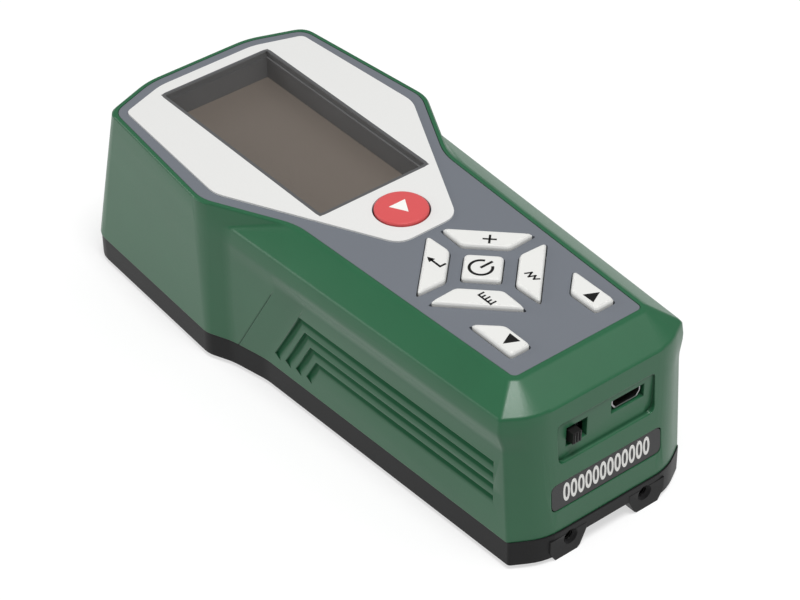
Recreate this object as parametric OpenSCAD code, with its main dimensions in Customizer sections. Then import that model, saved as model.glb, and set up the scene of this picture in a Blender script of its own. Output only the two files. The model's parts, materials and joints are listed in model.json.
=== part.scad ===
// Handheld surface roughness tester: a moulded two-part case with a display,
// a keypad and a motor-driven pickup that slides out of the far end.
// Millimetres. +X runs to the port end, -X to the pickup, +Z is up.
// Along the case, each place follows from the one before it, from the far end on.

/* [Body] */
// Place of the far end of the case
far_x = -59; // [-65:1:-53]
// Height of the rim round the face panel
body_h = 42.1; // [39:0.1:46]
// Height of the joint between the housing and the bottom cover
part_z = 7.1; // [6.4:0.1:8]
// Wall thickness of the housing
wall = 2.2; // [1.8:0.1:2.6]
// Half width of the flat part of the far end
far_half_y = 13.4; // [11:0.2:16]
// Half width at the far corners, at the joint
corner_y = 28.6; // [26:0.1:31]
// Half width at the shoulders
shoulder_y = 30.5; // [28:0.1:33]
// Length from the shoulders to the crease of the hand recess
shoulder_run = 7.75; // [6.5:0.05:9]
// How far the far end leans inward up to the rim
far_lean = 2.4; // [1.5:0.1:3.5]
// How far the foot of the far end stands out at the joint
far_foot = 2.5; // [1.5:0.1:3.5]
// How far the far corners lean inward along the case
corner_lean = 5.2; // [4:0.1:6.5]
// How far the far corners lean inward across the case
corner_tuck = 2; // [1:0.1:3]
// Half width of the port end at the joint
port_half_y = 16.2; // [14:0.1:18]
// Length of the cut corners of the port end along the case
port_cut = 3.85; // [3:0.05:4.5]
// Length from the face to the port end at the joint
port_run = 9.25; // [8:0.05:11]
// How far the port end leans inward up to the bevel
port_lean = 1.95; // [1:0.05:2.5]

/* [Grip] */
// Half width of the grip at the bevel, measured at x = 0
grip_y = 27.35; // [25:0.05:30]
// Narrowing of the grip for each millimetre towards the port end
grip_taper = 0.05; // [0.03:0.005:0.07]
// Height of the bevel below the rim
bevel_h = 4.4; // [3.5:0.1:5.5]
// Height of the plain band below the bevel
band_h = 3; // [2:0.1:4]
// Half width of the rim at the grip, measured at x = 0
rim_y = 20.85; // [19.5:0.05:22.5]
// Depth of the hand recess in each side
recess_d = 1.74; // [1:0.02:2]
// Share of the recess that fades out towards the port end
recess_fade = 0.4; // [0:0.05:0.6]
// How far the crease of the recess lies inside the plain side
crease_in = 0.45; // [0.2:0.05:0.6]
// Height of the soft cove of the recess
cove_h = 5.4; // [4:0.1:7]
// Lean of the crease and of the groove legs, length for each millimetre of height
leg_lean = 0.585; // [0.5:0.005:0.65]
// Number of nested grooves on each side
groove_n = 4; // [2:1:4]
// Distance between the grooves
groove_pitch = 2.95; // [2.5:0.05:3.2]
// Width of one groove
groove_w = 2.1; // [1.6:0.1:2.4]
// Depth of one groove
groove_d = 1.1; // [0.6:0.05:1.2]

/* [Face] */
// Width of the rim round the face panel
rim_w = 1.1; // [0.8:0.1:1.4]
// Thickness of the face panel
panel_t = 1.5; // [1.2:0.1:1.8]
// Thickness of the silver plate round the window
plate_t = 0.4; // [0.3:0.05:0.5]
// From the far end to the window
far_margin = 9.4; // [8.5:0.1:12]
// Length of the window opening
window_l = 56.9; // [50:0.1:63]
// Width of the window opening
window_w = 28.6; // [25:0.1:31]
// Depth of the display below the face panel
window_depth = 6.2; // [5.5:0.1:7]

/* [Keys] */
// Gap between the window and the start button
start_gap = 3; // [2.5:0.1:4]
// Radius of the start button
start_r = 5.75; // [5:0.05:6.5]
// Gap between the start button and the key cluster
cluster_gap = 4.728; // [4:0.001:6]
// Half diagonal of the power key
power_half = 5.64; // [5:0.02:6.2]
// Gap between the power key and the keys round it
power_gap = 3.01; // [2.6:0.01:3.4]
// Distance of the outer edge of a cluster key from the centre
cluster_out = 12.1; // [11:0.1:13.5]
// Gap between two cluster keys at their inner and outer corners
key_gap_in = 3.1; // [2.7:0.05:3.6]
key_gap_out = 3.68; // [3:0.01:4.2]
// Place of the arrow keys beyond the centre of the cluster
arrow_in = 12; // [11:0.1:13.5]
// Length of the arrow keys
arrow_l = 12.2; // [11:0.1:14]
// Cut of the inner corner of the arrow keys
arrow_cut = 4.8; // [4:0.1:5.5]
// Inner and outer edges of the arrow keys across the case
arrow_y0 = 8.36; // [7.6:0.02:9]
arrow_y1 = 13.4; // [12.5:0.1:14.4]
// Length of the face beyond the arrow keys
face_margin = 5.75; // [5:0.05:7]
// How far the keys stand out of the face panel
key_out = 1; // [0.8:0.1:1.3]
// Travel of a key
key_travel = 0.6; // [0.4:0.1:0.8]

/* [Port end] */
// Middle of the slide switch across the case
switch_y = -7.3; // [-8:0.1:-6.6]
// Travel of the slide switch
switch_travel = 2.2; // [1.8:0.1:2.6]
// Middle of the USB socket across the case
usb_y = 5.9; // [5.4:0.1:6.5]
// Width of the pocket round the switch and the socket
pocket_w = 25.2; // [24:0.1:27]
// Depth of the pocket at its lower and upper edges
pocket_d = 1.05; // [0.7:0.05:1.5]
pocket_top_d = 0.3; // [0.1:0.05:0.5]
// Length of the serial plate
serial_l = 28.6; // [26:0.1:30]
// Height of the serial plate
serial_h = 6.3; // [5.5:0.1:7]
// Middle height of the serial plate
serial_z = 15.6; // [14.5:0.1:17]

/* [Bottom cover] */
// Wall thickness of the cover
cover_wall = 2; // [1.7:0.1:2.3]
// Height of the lower edge of the cover
cover_edge_z = 0.8; // [0.5:0.1:1.3]
// Distance of the rails from the middle
rail_y = 7.4; // [7:0.1:8]
// Width of a rail on the table
rail_w = 6.3; // [5.5:0.1:7]
// Distance of the two leg holes from the middle
leg_hole_y = 9.9; // [9.2:0.1:10.8]
// Height of the leg holes
leg_hole_z = 4.3; // [3.9:0.1:4.6]
// Radius of the leg holes
leg_hole_r = 1.25; // [1:0.05:1.4]
// Depth of the leg holes
leg_hole_l = 12; // [9:1:15]

/* [Drive] */
// How far the pickup stands out of the far end
pickup_out = 22; // [20:0.5:26]
// Radius of the pickup tube
pickup_r = 4; // [3.6:0.1:4.3]
// Height of the pickup axis
pickup_z = 6; // [5.5:0.1:6.5]
// Traverse of the pickup
traverse = 17.5; // [15:0.5:20]
// Length of the carriage
carriage_l = 16; // [14:0.5:18]
// Radius of the lead screw
screw_r = 2.5; // [2:0.1:2.8]
// Distance of the guide rods from the middle
rod_y = 12; // [11:0.1:13]
// Radius of the guide rods
rod_r = 2; // [1.6:0.1:2.4]
// Radius of the motor and its gearbox
motor_r = 7.8; // [7:0.1:8.4]
// Length of the gearbox
gearbox_l = 14; // [12:0.5:16]
// Length of the motor
motor_l = 20; // [17:0.5:23]

/* [Fits] */
// Clearance between the mouldings
clear = 0.12; // [0.08:0.01:0.2]
// Clearance round the window shroud
shroud_gap = 0.1; // [0.05:0.01:0.2]
// Clearance round the keys in the panel and in the housing
key_gap = 0.25; // [0.2:0.01:0.4]
key_room = 0.3; // [0.2:0.01:0.4]
// Clearance round the start button in the silver plate
start_room = 0.35; // [0.3:0.01:0.5]
// Running clearance of the screw and the rods
running = 0.1; // [0.05:0.01:0.15]
// Clearance between the board and the walls
board_gap = 1.2; // [0.8:0.1:1.6]
// Clearance between the motor and the board
motor_gap = 2.3; // [1.8:0.1:2.8]
// Clearance round the battery
battery_gap = 1.2; // [0.8:0.1:1.6]
// Clearance of the pickup in the case
pickup_gap = 1.5; // [1.2:0.1:1.7]

/* [Hidden] */
$fn = 48;
curve_n = 5;
key_curve_n = 4;

// Heights from the rim down
panel_sink = 0.1;
panel_z = body_h - panel_sink;
seat_z = panel_z - panel_t;
ceiling_t = 1.5;
ceiling_z = seat_z - ceiling_t;
lcd_z = panel_z - window_depth;
lcd_t = 2.3;
light_t = 0.8;
board_t = 1.6;
board_top_z = lcd_z - lcd_t - light_t;
board_z = board_top_z - board_t;
lens_sink = 0.25;
lens_z = panel_z + plate_t - lens_sink;
lens_t = 1.2;
shroud_wall = 0.9;
shroud_lip = 0.4;
shroud_flange = 1.6;
lcd_margin = [2.05, 2.7];
bevel_z = body_h - bevel_h;
cove_z1 = bevel_z - band_h;
cove_z0 = cove_z1 - cove_h;
rim_edge = 0.35;
ledge_w = 1;
band_draft = 0.12;

// Heights from the table up
roof_t = 1.6;
roof_z = part_z - 1.5;
channel_z = roof_z - roof_t;

// Places along the case
window_x0 = far_x + far_margin;
window_x1 = window_x0 + window_l;
start_x = window_x1 + start_gap + start_r;
cluster_in = power_half * sqrt(0.5) + power_gap;
cluster_half = cluster_out - key_gap_out * sqrt(0.5);
cluster_half_in = cluster_in - key_gap_in * sqrt(0.5);
cluster_reach = (cluster_out + cluster_half) * sqrt(0.5);
cluster_x = start_x + start_r + cluster_gap + cluster_reach;
arrow_x0 = cluster_x + arrow_in;
arrow_x1 = arrow_x0 + arrow_l;
rim_end_x = arrow_x1 + face_margin;
near_x = rim_end_x + port_run;
case_x0 = far_x - far_foot;
end_joint_x = near_x - 0.35;
end_bevel_x = end_joint_x - port_lean;
end_lean = atan(port_lean / (bevel_z - part_z));
crease_back = 12.85;
crease_x0 = window_x1 - crease_back;
shoulder_x = crease_x0 - shoulder_run;
recess_run = 7.5;
rim_waist_x = window_x1 - 1;
rim_crease_x = window_x1 + 5.7;
rim_cut = [1.35, 1.48];

// Keys below the face
flange_z = ceiling_z - clear;
flange_w = 0.7;
flange_t = 2.3;
key_base_z = flange_z - flange_t;
key_top_z = panel_z + key_out;
key_soft = 0.45;
mat_t = 1.2;
dome_r = 2.8;
dome_gap = 0.2;
dome_z = key_base_z - key_travel - dome_gap;
arrow_dome = [(arrow_x0 + arrow_cut / 2 + arrow_x1) / 2, (arrow_y0 + arrow_y1) / 2];

// The port end
pocket_z1 = board_z + 1.9;
pocket_z0 = board_z - 7.7;
pocket_soft = [1.7, 1];
switch_l = 5.6;
switch_w = 8.4;
switch_h = 4.9;
switch_back = 5;
knob_w = 2.2;
knob_h = 2.6;
knob_l = 4.1;
knob_lip = 0.3;
knob_gap = 0.4;
slot_gap = 0.5;
usb_w = 7.5;
usb_h = 2.6;
usb_wall = 0.3;
usb_l = 6.1;
usb_back = 2.9;
usb_gap = [0.55, 0.3];
serial_sink = 0.9;
serial_t = 0.75;
serial_gap = 0.2;

// The drive, from the far end on
plate_w = 3;
foot_h = 3.4;
front_run = 7;
rest_run = 13;
end_room = 8.5;
coupling_room = 9;
frame_front_x = far_x + front_run;
carriage_x = frame_front_x + plate_w + rest_run;
frame_rear_x = carriage_x + carriage_l + traverse + end_room;
frame_motor_x = frame_rear_x + plate_w + coupling_room;
motor_plate_w = 2;
motor_plate_half = 10;
motor_plate_up = 1;
rod_edge = 2;
screw_edge = 2.5;
screw_z = board_z - motor_gap - motor_r;
screw_out = 4;
foot_z = roof_z + foot_h;
rod_z = foot_z + 5.5;
block_z0 = foot_z + 1.2;
block_z1 = screw_z + 4;
coupling_r = 4;
nose_x = far_x - pickup_out;
skid_l = 12;
skid_z = 0.5;
bore_r = pickup_r - 1.4;
stem_r = pickup_r - 1;
socket_l = carriage_l - 3;
tip_run = 4.9;
arm_l = 13.1;
tip_x = nose_x + tip_run;
tilt_x = tip_x + arm_l;
tip_z = 0.4;
tip_r = 0.4;
arm_r = 0.5;
head_r = 0.8;
head_h = 1.4;
hub_r = 1.5;
hub_front = 1.6;
hub_back = 3;
tip_in = 0.8;
pivot_r = 0.6;
pivot_gap = 0.05;

// Screws: head radius, head height, shank radius, shank length
case_fix = [2.2, 1.8, 1.05, 12];
board_fix = [1.8, 1.2, 0.85, 5.5];
frame_fix = [1.8, 1, 0.8, 6];
case_boss_r = 3.2;
cover_boss_r = 3.9;
board_boss_r = 2.5;
boss_gap = 3.6;
fix_gap = 0.35;
fix_room = 0.6;
case_seat_z = part_z - 2.5;
frame_screw_x = [frame_front_x + plate_w + 4, frame_rear_x - 4];
frame_screw_y = 12.5;
foot_half = 2.6;

GREEN = [0.16, 0.36, 0.25];
BLACK = [0.13, 0.13, 0.13];
GREY = [0.46, 0.47, 0.5];
SILVER = [0.86, 0.86, 0.85];
WHITE = [0.93, 0.93, 0.91];
RED = [0.78, 0.16, 0.18];
STEEL = [0.72, 0.73, 0.75];

// Small vector helpers. An outline is a clockwise list of corners [x, y, blend length].

function unit(v) = v / norm(v);
function xy(c) = [c[0], c[1]];
function mixed(a, b, t) = a + (b - a) * t;
function mixed_corners(a, b, t) = [for (i = [0:len(a) - 1]) mixed(a[i], b[i], t)];
function mirrored(half) = concat(half, [for (i = [len(half) - 1:-1:0]) [half[i][0], -half[i][1], half[i][2]]]);
function before(list, i) = list[(i + len(list) - 1) % len(list)];
function after(list, i) = list[(i + 1) % len(list)];
function right_of(a, b) = let (d = unit(xy(b) - xy(a))) [d[1], -d[0]];

function inset(corners, w) = [for (i = [0:len(corners) - 1])
    let (n1 = right_of(before(corners, i), corners[i]), n2 = right_of(corners[i], after(corners, i)),
         m = (n1 + n2) / (1 + n1 * n2))
    [corners[i][0] + w * m[0], corners[i][1] + w * m[1], corners[i][2]]];

// A blend is limited by the two edges that it joins.
function blended(a, p, b, blend, n) =
    let (t = min(blend, 0.48 * norm(a - p), 0.48 * norm(b - p)), p0 = p + t * unit(a - p), p1 = p + t * unit(b - p))
    [for (k = [0:n]) let (s = k / n) (1 - s) * (1 - s) * p0 + 2 * s * (1 - s) * p + s * s * p1];

function outline(corners, n = curve_n) = [for (i = [0:len(corners) - 1])
    each blended(xy(before(corners, i)), xy(corners[i]), xy(after(corners, i)), corners[i][2], n)];

function at_height(points, z) = [for (p = points) [p[0], p[1], z]];

// A solid through level outlines with the same number of points: [[z, points], ...] from the bottom up.
module loft(levels) {
    n = len(levels[0][1]);
    top = len(levels) - 1;
    points = [for (l = levels) each at_height(l[1], l[0])];
    sides = [for (l = [0:top - 1], i = [0:n - 1]) let (j = (i + 1) % n, lo = l * n, up = lo + n)
        each [[up + j, up + i, lo + i], [up + j, lo + i, lo + j]]];
    caps = [[for (i = [n - 1:-1:0]) i], [for (i = [0:n - 1]) top * n + i]];
    polyhedron(points, concat(caps, sides), convexity = 10);
}

module prism(corners, z0, z1, n = curve_n) {
    translate([0, 0, z0]) linear_extrude(z1 - z0) polygon(outline(corners, n));
}

module x_rod(r, x0, x1, y = 0, z = 0) {
    translate([x0, y, z]) rotate([0, 90, 0]) cylinder(r = r, h = x1 - x0);
}

module box(x0, x1, y0, y1, z0, z1) {
    translate([x0, y0, z0]) cube([x1 - x0, y1 - y0, z1 - z0]);
}

module on_both_sides() {
    children();
    mirror([0, 1, 0]) children();
}

module x_extrude(points, x0, x1) {
    translate([x0, 0, 0]) rotate([90, 0, 90]) linear_extrude(x1 - x0) polygon(points);
}

// Shape of the case at a height. The recess fades out in a soft cove, and the crease leans.

function draft(z) = (z - part_z) / (body_h - part_z);
function wall_t(z) = (z - part_z) / (bevel_z - part_z);
function cove(z) = z <= cove_z0 ? 1 : z >= cove_z1 ? 0 : (1 + cos(180 * (z - cove_z0) / (cove_z1 - cove_z0))) / 2;
function side_y(x, z) = grip_y + band_draft * min(bevel_z - z, band_h) - grip_taper * x;
function recess_at(x) = recess_d * (1 - recess_fade * (x - crease_x0) / (near_x - crease_x0));
function recessed_y(x, z) = side_y(x, z) - recess_at(x) * cove(z);
function crease_x(z) = crease_x0 + leg_lean * (min(z, cove_z0) - part_z);
function end_x(z) = mixed(end_joint_x, end_bevel_x, wall_t(z));
function waist_x(z) = crease_x0 + mixed(-2.25, -1.25, wall_t(z));
function case_half(z) = let (t = draft(z), b = wall_t(z), w = waist_x(z), c = crease_x(z), e = end_x(z) - port_cut, f = far_x - far_foot * (1 - t)) [
    [f + far_lean * t, far_half_y, 3],
    [f + 2 + corner_lean * t, corner_y - corner_tuck * t, mixed(4.5, 2.6, t)],
    [shoulder_x, shoulder_y, mixed(1.4, 2.6, t)],
    [w, side_y(w, z), 1.4],
    [c, side_y(c, z) - crease_in * cove(z), 0.3],
    [c + recess_run, recessed_y(c + recess_run, z), 1.5],
    [e, recessed_y(e, z), 0.6],
    [end_x(z), port_half_y + 1.2 * b, 4]];

function rim_side(x) = rim_y - 0.9 * grip_taper * x;
function rim_half() = let (e = rim_end_x - rim_cut[0], c = rim_crease_x) [
    [far_x + far_lean, far_half_y, 3],
    [far_x + 2 + corner_lean, corner_y - corner_tuck, 2.6],
    [shoulder_x, shoulder_y, 2.6],
    [rim_waist_x, rim_side(rim_waist_x), 4],
    [c, rim_side(c), 0.3],
    [c + recess_run, rim_side(c + recess_run), 1.5],
    [e, rim_side(e), 0.7],
    [rim_end_x, rim_side(e) - rim_cut[1], 0.7]];

function case_corners(z) = mirrored(case_half(z));
function rim_corners() = mirrored(rim_half());
function bevel_corners(t) = mixed_corners(case_corners(bevel_z), rim_corners(), t);
function bevel_level(t) = [mixed(bevel_z, body_h, t), outline(bevel_corners(t))];

function case_levels() = concat(
    [for (z = [part_z, mixed(part_z, cove_z0, 0.5), for (k = [0:4]) mixed(cove_z0, cove_z1, k / 4), bevel_z - rim_edge]) [z, outline(case_corners(z))]],
    [bevel_level(0.07), bevel_level(0.93), [body_h, outline(inset(rim_corners(), rim_edge))]]);

// The inside keeps the plain shape of the case and leaves out the crease of the recess.
function plain(c) = [for (i = [0:len(c) - 1]) if (i != 4 && i != 11) c[i]];
function cavity_level(z, w) = [z, outline(inset(plain(case_corners(z)), w), 3)];

module cavity() {
    loft([cavity_level(part_z - 0.5, wall), cavity_level(cove_z0, wall), cavity_level(cove_z1, wall),
          [ceiling_z, outline(inset(plain(rim_corners()), ledge_w), 3)]]);
}

module panel_shape(gap) {
    polygon(outline(inset(rim_corners(), rim_w + gap)));
}

// One groove is a band along a leaning leg and a long run, cut with a steep upper wall and a ramp.
// It gets deeper from the foot of the leg to the end of the run.
groove_drop = 4.7;
groove_foot_z = part_z + 3.3;
groove_in = 9.83;
groove_edge = 0.15;
groove_share = [0.5, 0.75, 1];
groove_end_x = near_x - 8.4;
function groove_z(i) = cove_z0 - groove_drop - groove_pitch * i;

module groove(i) {
    leg_slope = unit([leg_lean, 1]);
    corner = [crease_x(groove_z(i)) + groove_in + i * groove_pitch / leg_slope[1], groove_z(i)];
    foot = corner - leg_slope * (corner[1] - groove_foot_z) / leg_slope[1];
    end = [groove_end_x, corner[1]];
    side_leg = [-leg_slope[1], leg_slope[0]];
    side_run = [0, 1];
    miter = (side_leg + side_run) / (1 + side_leg * side_run);
    half = groove_w / 2;
    over = 0.3;
    spine = [[foot, side_leg], [corner, miter], [end, side_run]];
    points = [for (k = [0:2])
        let (d = groove_d * groove_share[k], section = [[1 + groove_edge * over / d, over], [1 - groove_edge, -d], [-1 - (2 - groove_edge) * over / d, over]])
        for (q = section) let (p = spine[k][0] + spine[k][1] * q[0] * half)
            [p[0], recessed_y(p[0], part_z) + q[1], p[1]]];
    polyhedron(points, [[0, 1, 2], [8, 7, 6],
        for (k = [0, 1], q = [0:2]) let (a = 3 * k + q, b = 3 * k + (q + 1) % 3)
            each [[a, a + 3, b], [b, a + 3, b + 3]]]);
}

// A fine line follows the crease from the joint up to the cove.
crease_line = [0.4, 0.16];
crease_stop = 1.6;

module crease_cut() {
    half = crease_line[0] / 2;
    points = [for (z = [part_z - 0.5, cove_z0 - crease_stop], q = [[half, 0.1], [0, -crease_line[1]], [-half, 0.1]])
        let (x = crease_x(z)) [x - q[0], side_y(x, z) - crease_in + q[1], z + q[0] * leg_lean]];
    polyhedron(points, [[0, 1, 2], [5, 4, 3], for (q = [0:2]) let (r = (q + 1) % 3) each [[q, q + 3, r], [r, q + 3, r + 3]]]);
}

// The pocket is a wedge that deepens downwards, cut to a soft outline.
function pocket_x(z) = mixed(end_x(pocket_z0) - pocket_d, end_x(pocket_z1) - pocket_top_d, (z - pocket_z0) / (pocket_z1 - pocket_z0));
function pocket_corners() = let (y = pocket_w / 2)
    [[-y, pocket_z0, pocket_soft[0]], [-y, pocket_z1, pocket_soft[1]], [y, pocket_z1, pocket_soft[1]], [y, pocket_z0, pocket_soft[0]]];

module port_pocket() {
    over = 0.5;
    low = pocket_z0 - over;
    high = pocket_z1 + over;
    intersection() {
        translate([0, pocket_w, 0]) rotate([90, 0, 0]) linear_extrude(2 * pocket_w)
            polygon([[pocket_x(low), low], [pocket_x(high), high], [near_x + 2, high], [near_x + 2, low]]);
        x_extrude(outline(pocket_corners(), 3), end_bevel_x - 4, near_x + 1);
    }
}

module on_end_face(z) {
    translate([end_x(z), 0, z]) rotate([0, 90 - end_lean, 0]) children();
}

module rounded_plate(l, h, r) {
    corners = [[-h / 2, -l / 2, r], [-h / 2, l / 2, r], [h / 2, l / 2, r], [h / 2, -l / 2, r]];
    polygon(outline(corners, 4));
}

// Keys: the visible face, then the soft edge, the stem and the hidden flange.

function cluster_key(angle) = let (n = [cos(angle), sin(angle)], t = [-sin(angle), cos(angle)])
    [for (q = [[cluster_out, cluster_half, 1.2], [cluster_out, -cluster_half, 1.2], [cluster_in, -cluster_half_in, 0.9], [cluster_in, cluster_half_in, 0.9]])
        [cluster_x + n[0] * q[0] + t[0] * q[1], n[1] * q[0] + t[1] * q[1], q[2]]];
function power_corners() = [for (a = [180, 90, 0, -90]) [cluster_x + power_half * cos(a), power_half * sin(a), 1]];
function arrow_corners() = [[arrow_x0, arrow_y1, 1.2], [arrow_x1, arrow_y1, 0.9], [arrow_x1, arrow_y0, 0.9], [arrow_x0 + arrow_cut, arrow_y0, 0.9]];
function down_corners() = [for (i = [3:-1:0]) let (c = arrow_corners()[i]) [c[0], -c[1], c[2]]];
function all_keys() = [cluster_key(135), cluster_key(45), cluster_key(-45), cluster_key(-135), power_corners(), arrow_corners(), down_corners()];

module key_cap(corners) {
    level = function (z, w) [z, outline(inset(corners, w), key_curve_n)];
    loft([level(key_base_z, -flange_w), level(flange_z, -flange_w), level(flange_z, 0),
          level(key_top_z - 0.55, 0), level(key_top_z - 0.18, key_soft * 0.4), level(key_top_z, key_soft)]);
}

module key_holes(z0, z1, gap) {
    for (k = all_keys()) prism(inset(k, -gap), z0, z1, key_curve_n);
    translate([start_x, 0, z0]) cylinder(r = start_r + gap, h = z1 - z0);
}

module window_hole(z0, z1, gap) {
    box(window_x0 - gap, window_x1 + gap, -window_w / 2 - gap, window_w / 2 + gap, z0, z1);
}

// Screw places: two at the far corners and two at the grip.

case_screw_x = [far_x + 13, near_x - 15];
case_screw_far = [case_screw_x[0], corner_y - 6.4];
case_screw_near = [case_screw_x[1], recessed_y(case_screw_x[1], part_z) - 4.47];
board_screw_far = [far_x + 15, (window_w / 2 + lcd_margin[1] + corner_y - wall) / 2];
board_screw_near = [window_x1 + 6.7, grip_y - 9.85];

module case_screw_places() {
    for (p = [case_screw_far, case_screw_near], s = [-1, 1]) translate([p[0], s * p[1], 0]) children();
}

module board_screw_places() {
    for (p = [board_screw_far, board_screw_near], s = [-1, 1]) translate([p[0], s * p[1], 0]) children();
}

module upper_housing() {
    boss_z0 = part_z + 0.4;
    boss_h = board_z - boss_gap - boss_z0;
    screw_hole_l = case_fix[3] + 2;
    color(GREEN) difference() {
        union() {
            difference() {
                loft(case_levels());
                cavity();
                for (i = [0:groove_n - 1]) if (groove_z(i) > groove_foot_z + groove_w / 2) on_both_sides() groove(i);
                on_both_sides() crease_cut();
            }
            case_screw_places() translate([0, 0, boss_z0]) cylinder(r = case_boss_r, h = boss_h);
            on_both_sides() box(case_screw_far[0] - 1, case_screw_far[0] + 1, case_screw_far[1] + 2, corner_y - 1, boss_z0, boss_z0 + boss_h - 2);
            board_screw_places() translate([0, 0, board_top_z]) cylinder(r = board_boss_r, h = ceiling_z - board_top_z + 0.5);
        }
        translate([0, 0, seat_z]) linear_extrude(5) panel_shape(0);
        window_hole(ceiling_z - 1, seat_z + 1, shroud_gap);
        key_holes(ceiling_z - 1, seat_z + 1, key_room);
        port_pocket();
        switch_opening();
        box(near_x - usb_back - usb_l - 2, near_x + 2, usb_y - usb_w / 2 - usb_gap[0], usb_y + usb_w / 2 + usb_gap[0],
            board_z - usb_h - usb_gap[1], board_z + usb_gap[1]);
        on_end_face(serial_z) translate([0, 0, -serial_sink]) linear_extrude(4) rounded_plate(serial_l + 2 * serial_gap, serial_h + 2 * serial_gap, 1.6);
        x_rod(pickup_r + pickup_gap, case_x0 - 1, far_x + 12, 0, pickup_z);
        case_screw_places() translate([0, 0, part_z - 1]) cylinder(r = case_fix[2], h = screw_hole_l);
        board_screw_places() translate([0, 0, board_top_z - 1]) cylinder(r = board_fix[2], h = board_fix[3] + 0.5);
    }
}

// The bottom cover: a shallow tray with two rails and a channel that the pickup runs in.

cover_step = [0.05, 0.05];
cover_soft = 0.35;
cover_flush = 0.04;
rail_flare = [1.5, 2.6];
channel_flank = 1.7;
rail_soft = 0.6;
function cover_half() = let (c = inset(case_corners(part_z), clear))
    [for (i = [0:7]) i < 3 ? [c[i][0] + cover_step[0], c[i][1] - cover_step[1], c[i][2]] : c[i]];
function cover_corners() = mirrored(cover_half());
cover_run = near_x - cover_flush - end_joint_x + clear;
function reached(c, dx) = [for (i = [0:len(c) - 1]) i > 5 && i < 10 ? [c[i][0] + dx, c[i][1], c[i][2]] : c[i]];
function cover_level(z, w) = [z, outline(inset(reached(cover_corners(), cover_run), w))];
function tray_level(z) = [z, outline(inset(plain(cover_corners()), cover_wall), 3)];
function rail_section() = let (in = rail_y - channel_flank, out = rail_y + rail_w)
    [[rail_y, 0], [out, 0], [out + rail_flare[0], rail_flare[1]], [out + rail_flare[0], roof_z], [in, roof_z], [in, channel_z]];
function channel_section() = let (in = rail_y - channel_flank)
    [[-rail_y - rail_soft, -1], [rail_y + rail_soft, -1], [rail_y + rail_soft, 0], [rail_y - 0.1, rail_soft], [in, channel_z],
     [-in, channel_z], [-rail_y + 0.1, rail_soft], [-rail_y - rail_soft, 0]];

module bottom_cover() {
    boss = leg_hole_r + 1.35;
    slot = pickup_r + pickup_gap;
    slot_end_x = carriage_x + carriage_l + traverse + pickup_gap;
    color(BLACK) difference() {
        union() {
            difference() {
                loft([cover_level(cover_edge_z, cover_soft), cover_level(cover_edge_z + cover_soft, 0), cover_level(part_z, 0)]);
                loft([tray_level(cover_edge_z + cover_wall), tray_level(part_z + 1)]);
            }
            on_both_sides() x_extrude(rail_section(), far_x + 6, near_x);
            box(far_x + 2, near_x - 2, -rail_y + 1.4, rail_y - 1.4, channel_z, roof_z);
            on_both_sides() box(near_x - leg_hole_l - 2, near_x - 1.5, leg_hole_y - boss, leg_hole_y + boss, channel_z, part_z);
            case_screw_places() translate([0, 0, cover_edge_z + 0.2]) cylinder(r = cover_boss_r, h = part_z - cover_edge_z - 0.2);
        }
        x_extrude(channel_section(), case_x0 - 2, near_x + 2);
        x_rod(slot, case_x0 - 2, far_x + 12, 0, pickup_z);
        box(case_x0 - 2, slot_end_x, -slot, slot, 2, part_z + 1);
        case_screw_places() {
            translate([0, 0, -1]) cylinder(r = case_fix[0] + fix_gap, h = case_seat_z + 1);
            cylinder(r = case_fix[2] + fix_gap, h = part_z + 1);
        }
        on_both_sides() x_rod(leg_hole_r, near_x - leg_hole_l, near_x + 1, leg_hole_y, leg_hole_z);
        for (x = frame_screw_x, s = [-1, 1]) translate([x, s * frame_screw_y, foot_z - frame_fix[3] - 0.4]) cylinder(r = frame_fix[2], h = frame_fix[3]);
    }
}

module face_panel() {
    color(GREY) difference() {
        translate([0, 0, seat_z]) linear_extrude(panel_t) panel_shape(clear);
        window_hole(seat_z - 1, panel_z + 1, shroud_gap);
        key_holes(seat_z - 1, panel_z + 1, key_gap);
    }
}

function plate_half() = [
    [window_x0 - 3.2, far_half_y - 0.9, 2],
    [window_x0 + 0.6, corner_y - 4.8, 1.2],
    [shoulder_x + 0.3, shoulder_y - 4.1, 2.2],
    [start_x + start_r + 3.1, start_r + 1.55, 3]];

module display_plate() {
    color(SILVER) difference() {
        prism(mirrored(plate_half()), panel_z, panel_z + plate_t);
        window_hole(panel_z - 1, panel_z + 2, shroud_gap);
        translate([start_x, 0, panel_z - 1]) cylinder(r = start_r + start_room, h = 3);
    }
}

module window_shroud() {
    color([0.3, 0.3, 0.3]) difference() {
        union() {
            window_hole(lcd_z, panel_z + plate_t - 0.05, 0);
            window_hole(lcd_z, ceiling_z - clear, shroud_flange);
        }
        window_hole(lcd_z - 1, panel_z + 2, -shroud_wall);
        window_hole(lens_z - lens_t, panel_z + 2, shroud_lip - shroud_wall);
    }
}

module window_lens() {
    color([0.85, 0.9, 0.92, 0.3]) window_hole(lens_z - lens_t, lens_z, shroud_lip - shroud_wall - 0.05);
}

// The display and its light, which reach beyond the window on all sides.
module display_layer(z, t, less) {
    x = lcd_margin[0] - less;
    y = window_w / 2 + lcd_margin[1] - less;
    box(window_x0 - x, window_x1 + x, -y, y, z - t, z);
}

module lcd_panel() {
    color([0.45, 0.42, 0.4]) display_layer(lcd_z, lcd_t, 0);
}

module backlight() {
    color([0.92, 0.92, 0.88]) display_layer(lcd_z - lcd_t, light_t, 0.5);
}

module main_board() {
    color([0.1, 0.35, 0.2]) difference() {
        prism(inset(plain(case_corners(cove_z0)), wall + board_gap), board_z, board_top_z, 3);
        board_screw_places() translate([0, 0, board_z - 1]) cylinder(r = board_fix[2] + fix_gap, h = board_t + 2);
    }
}

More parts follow.
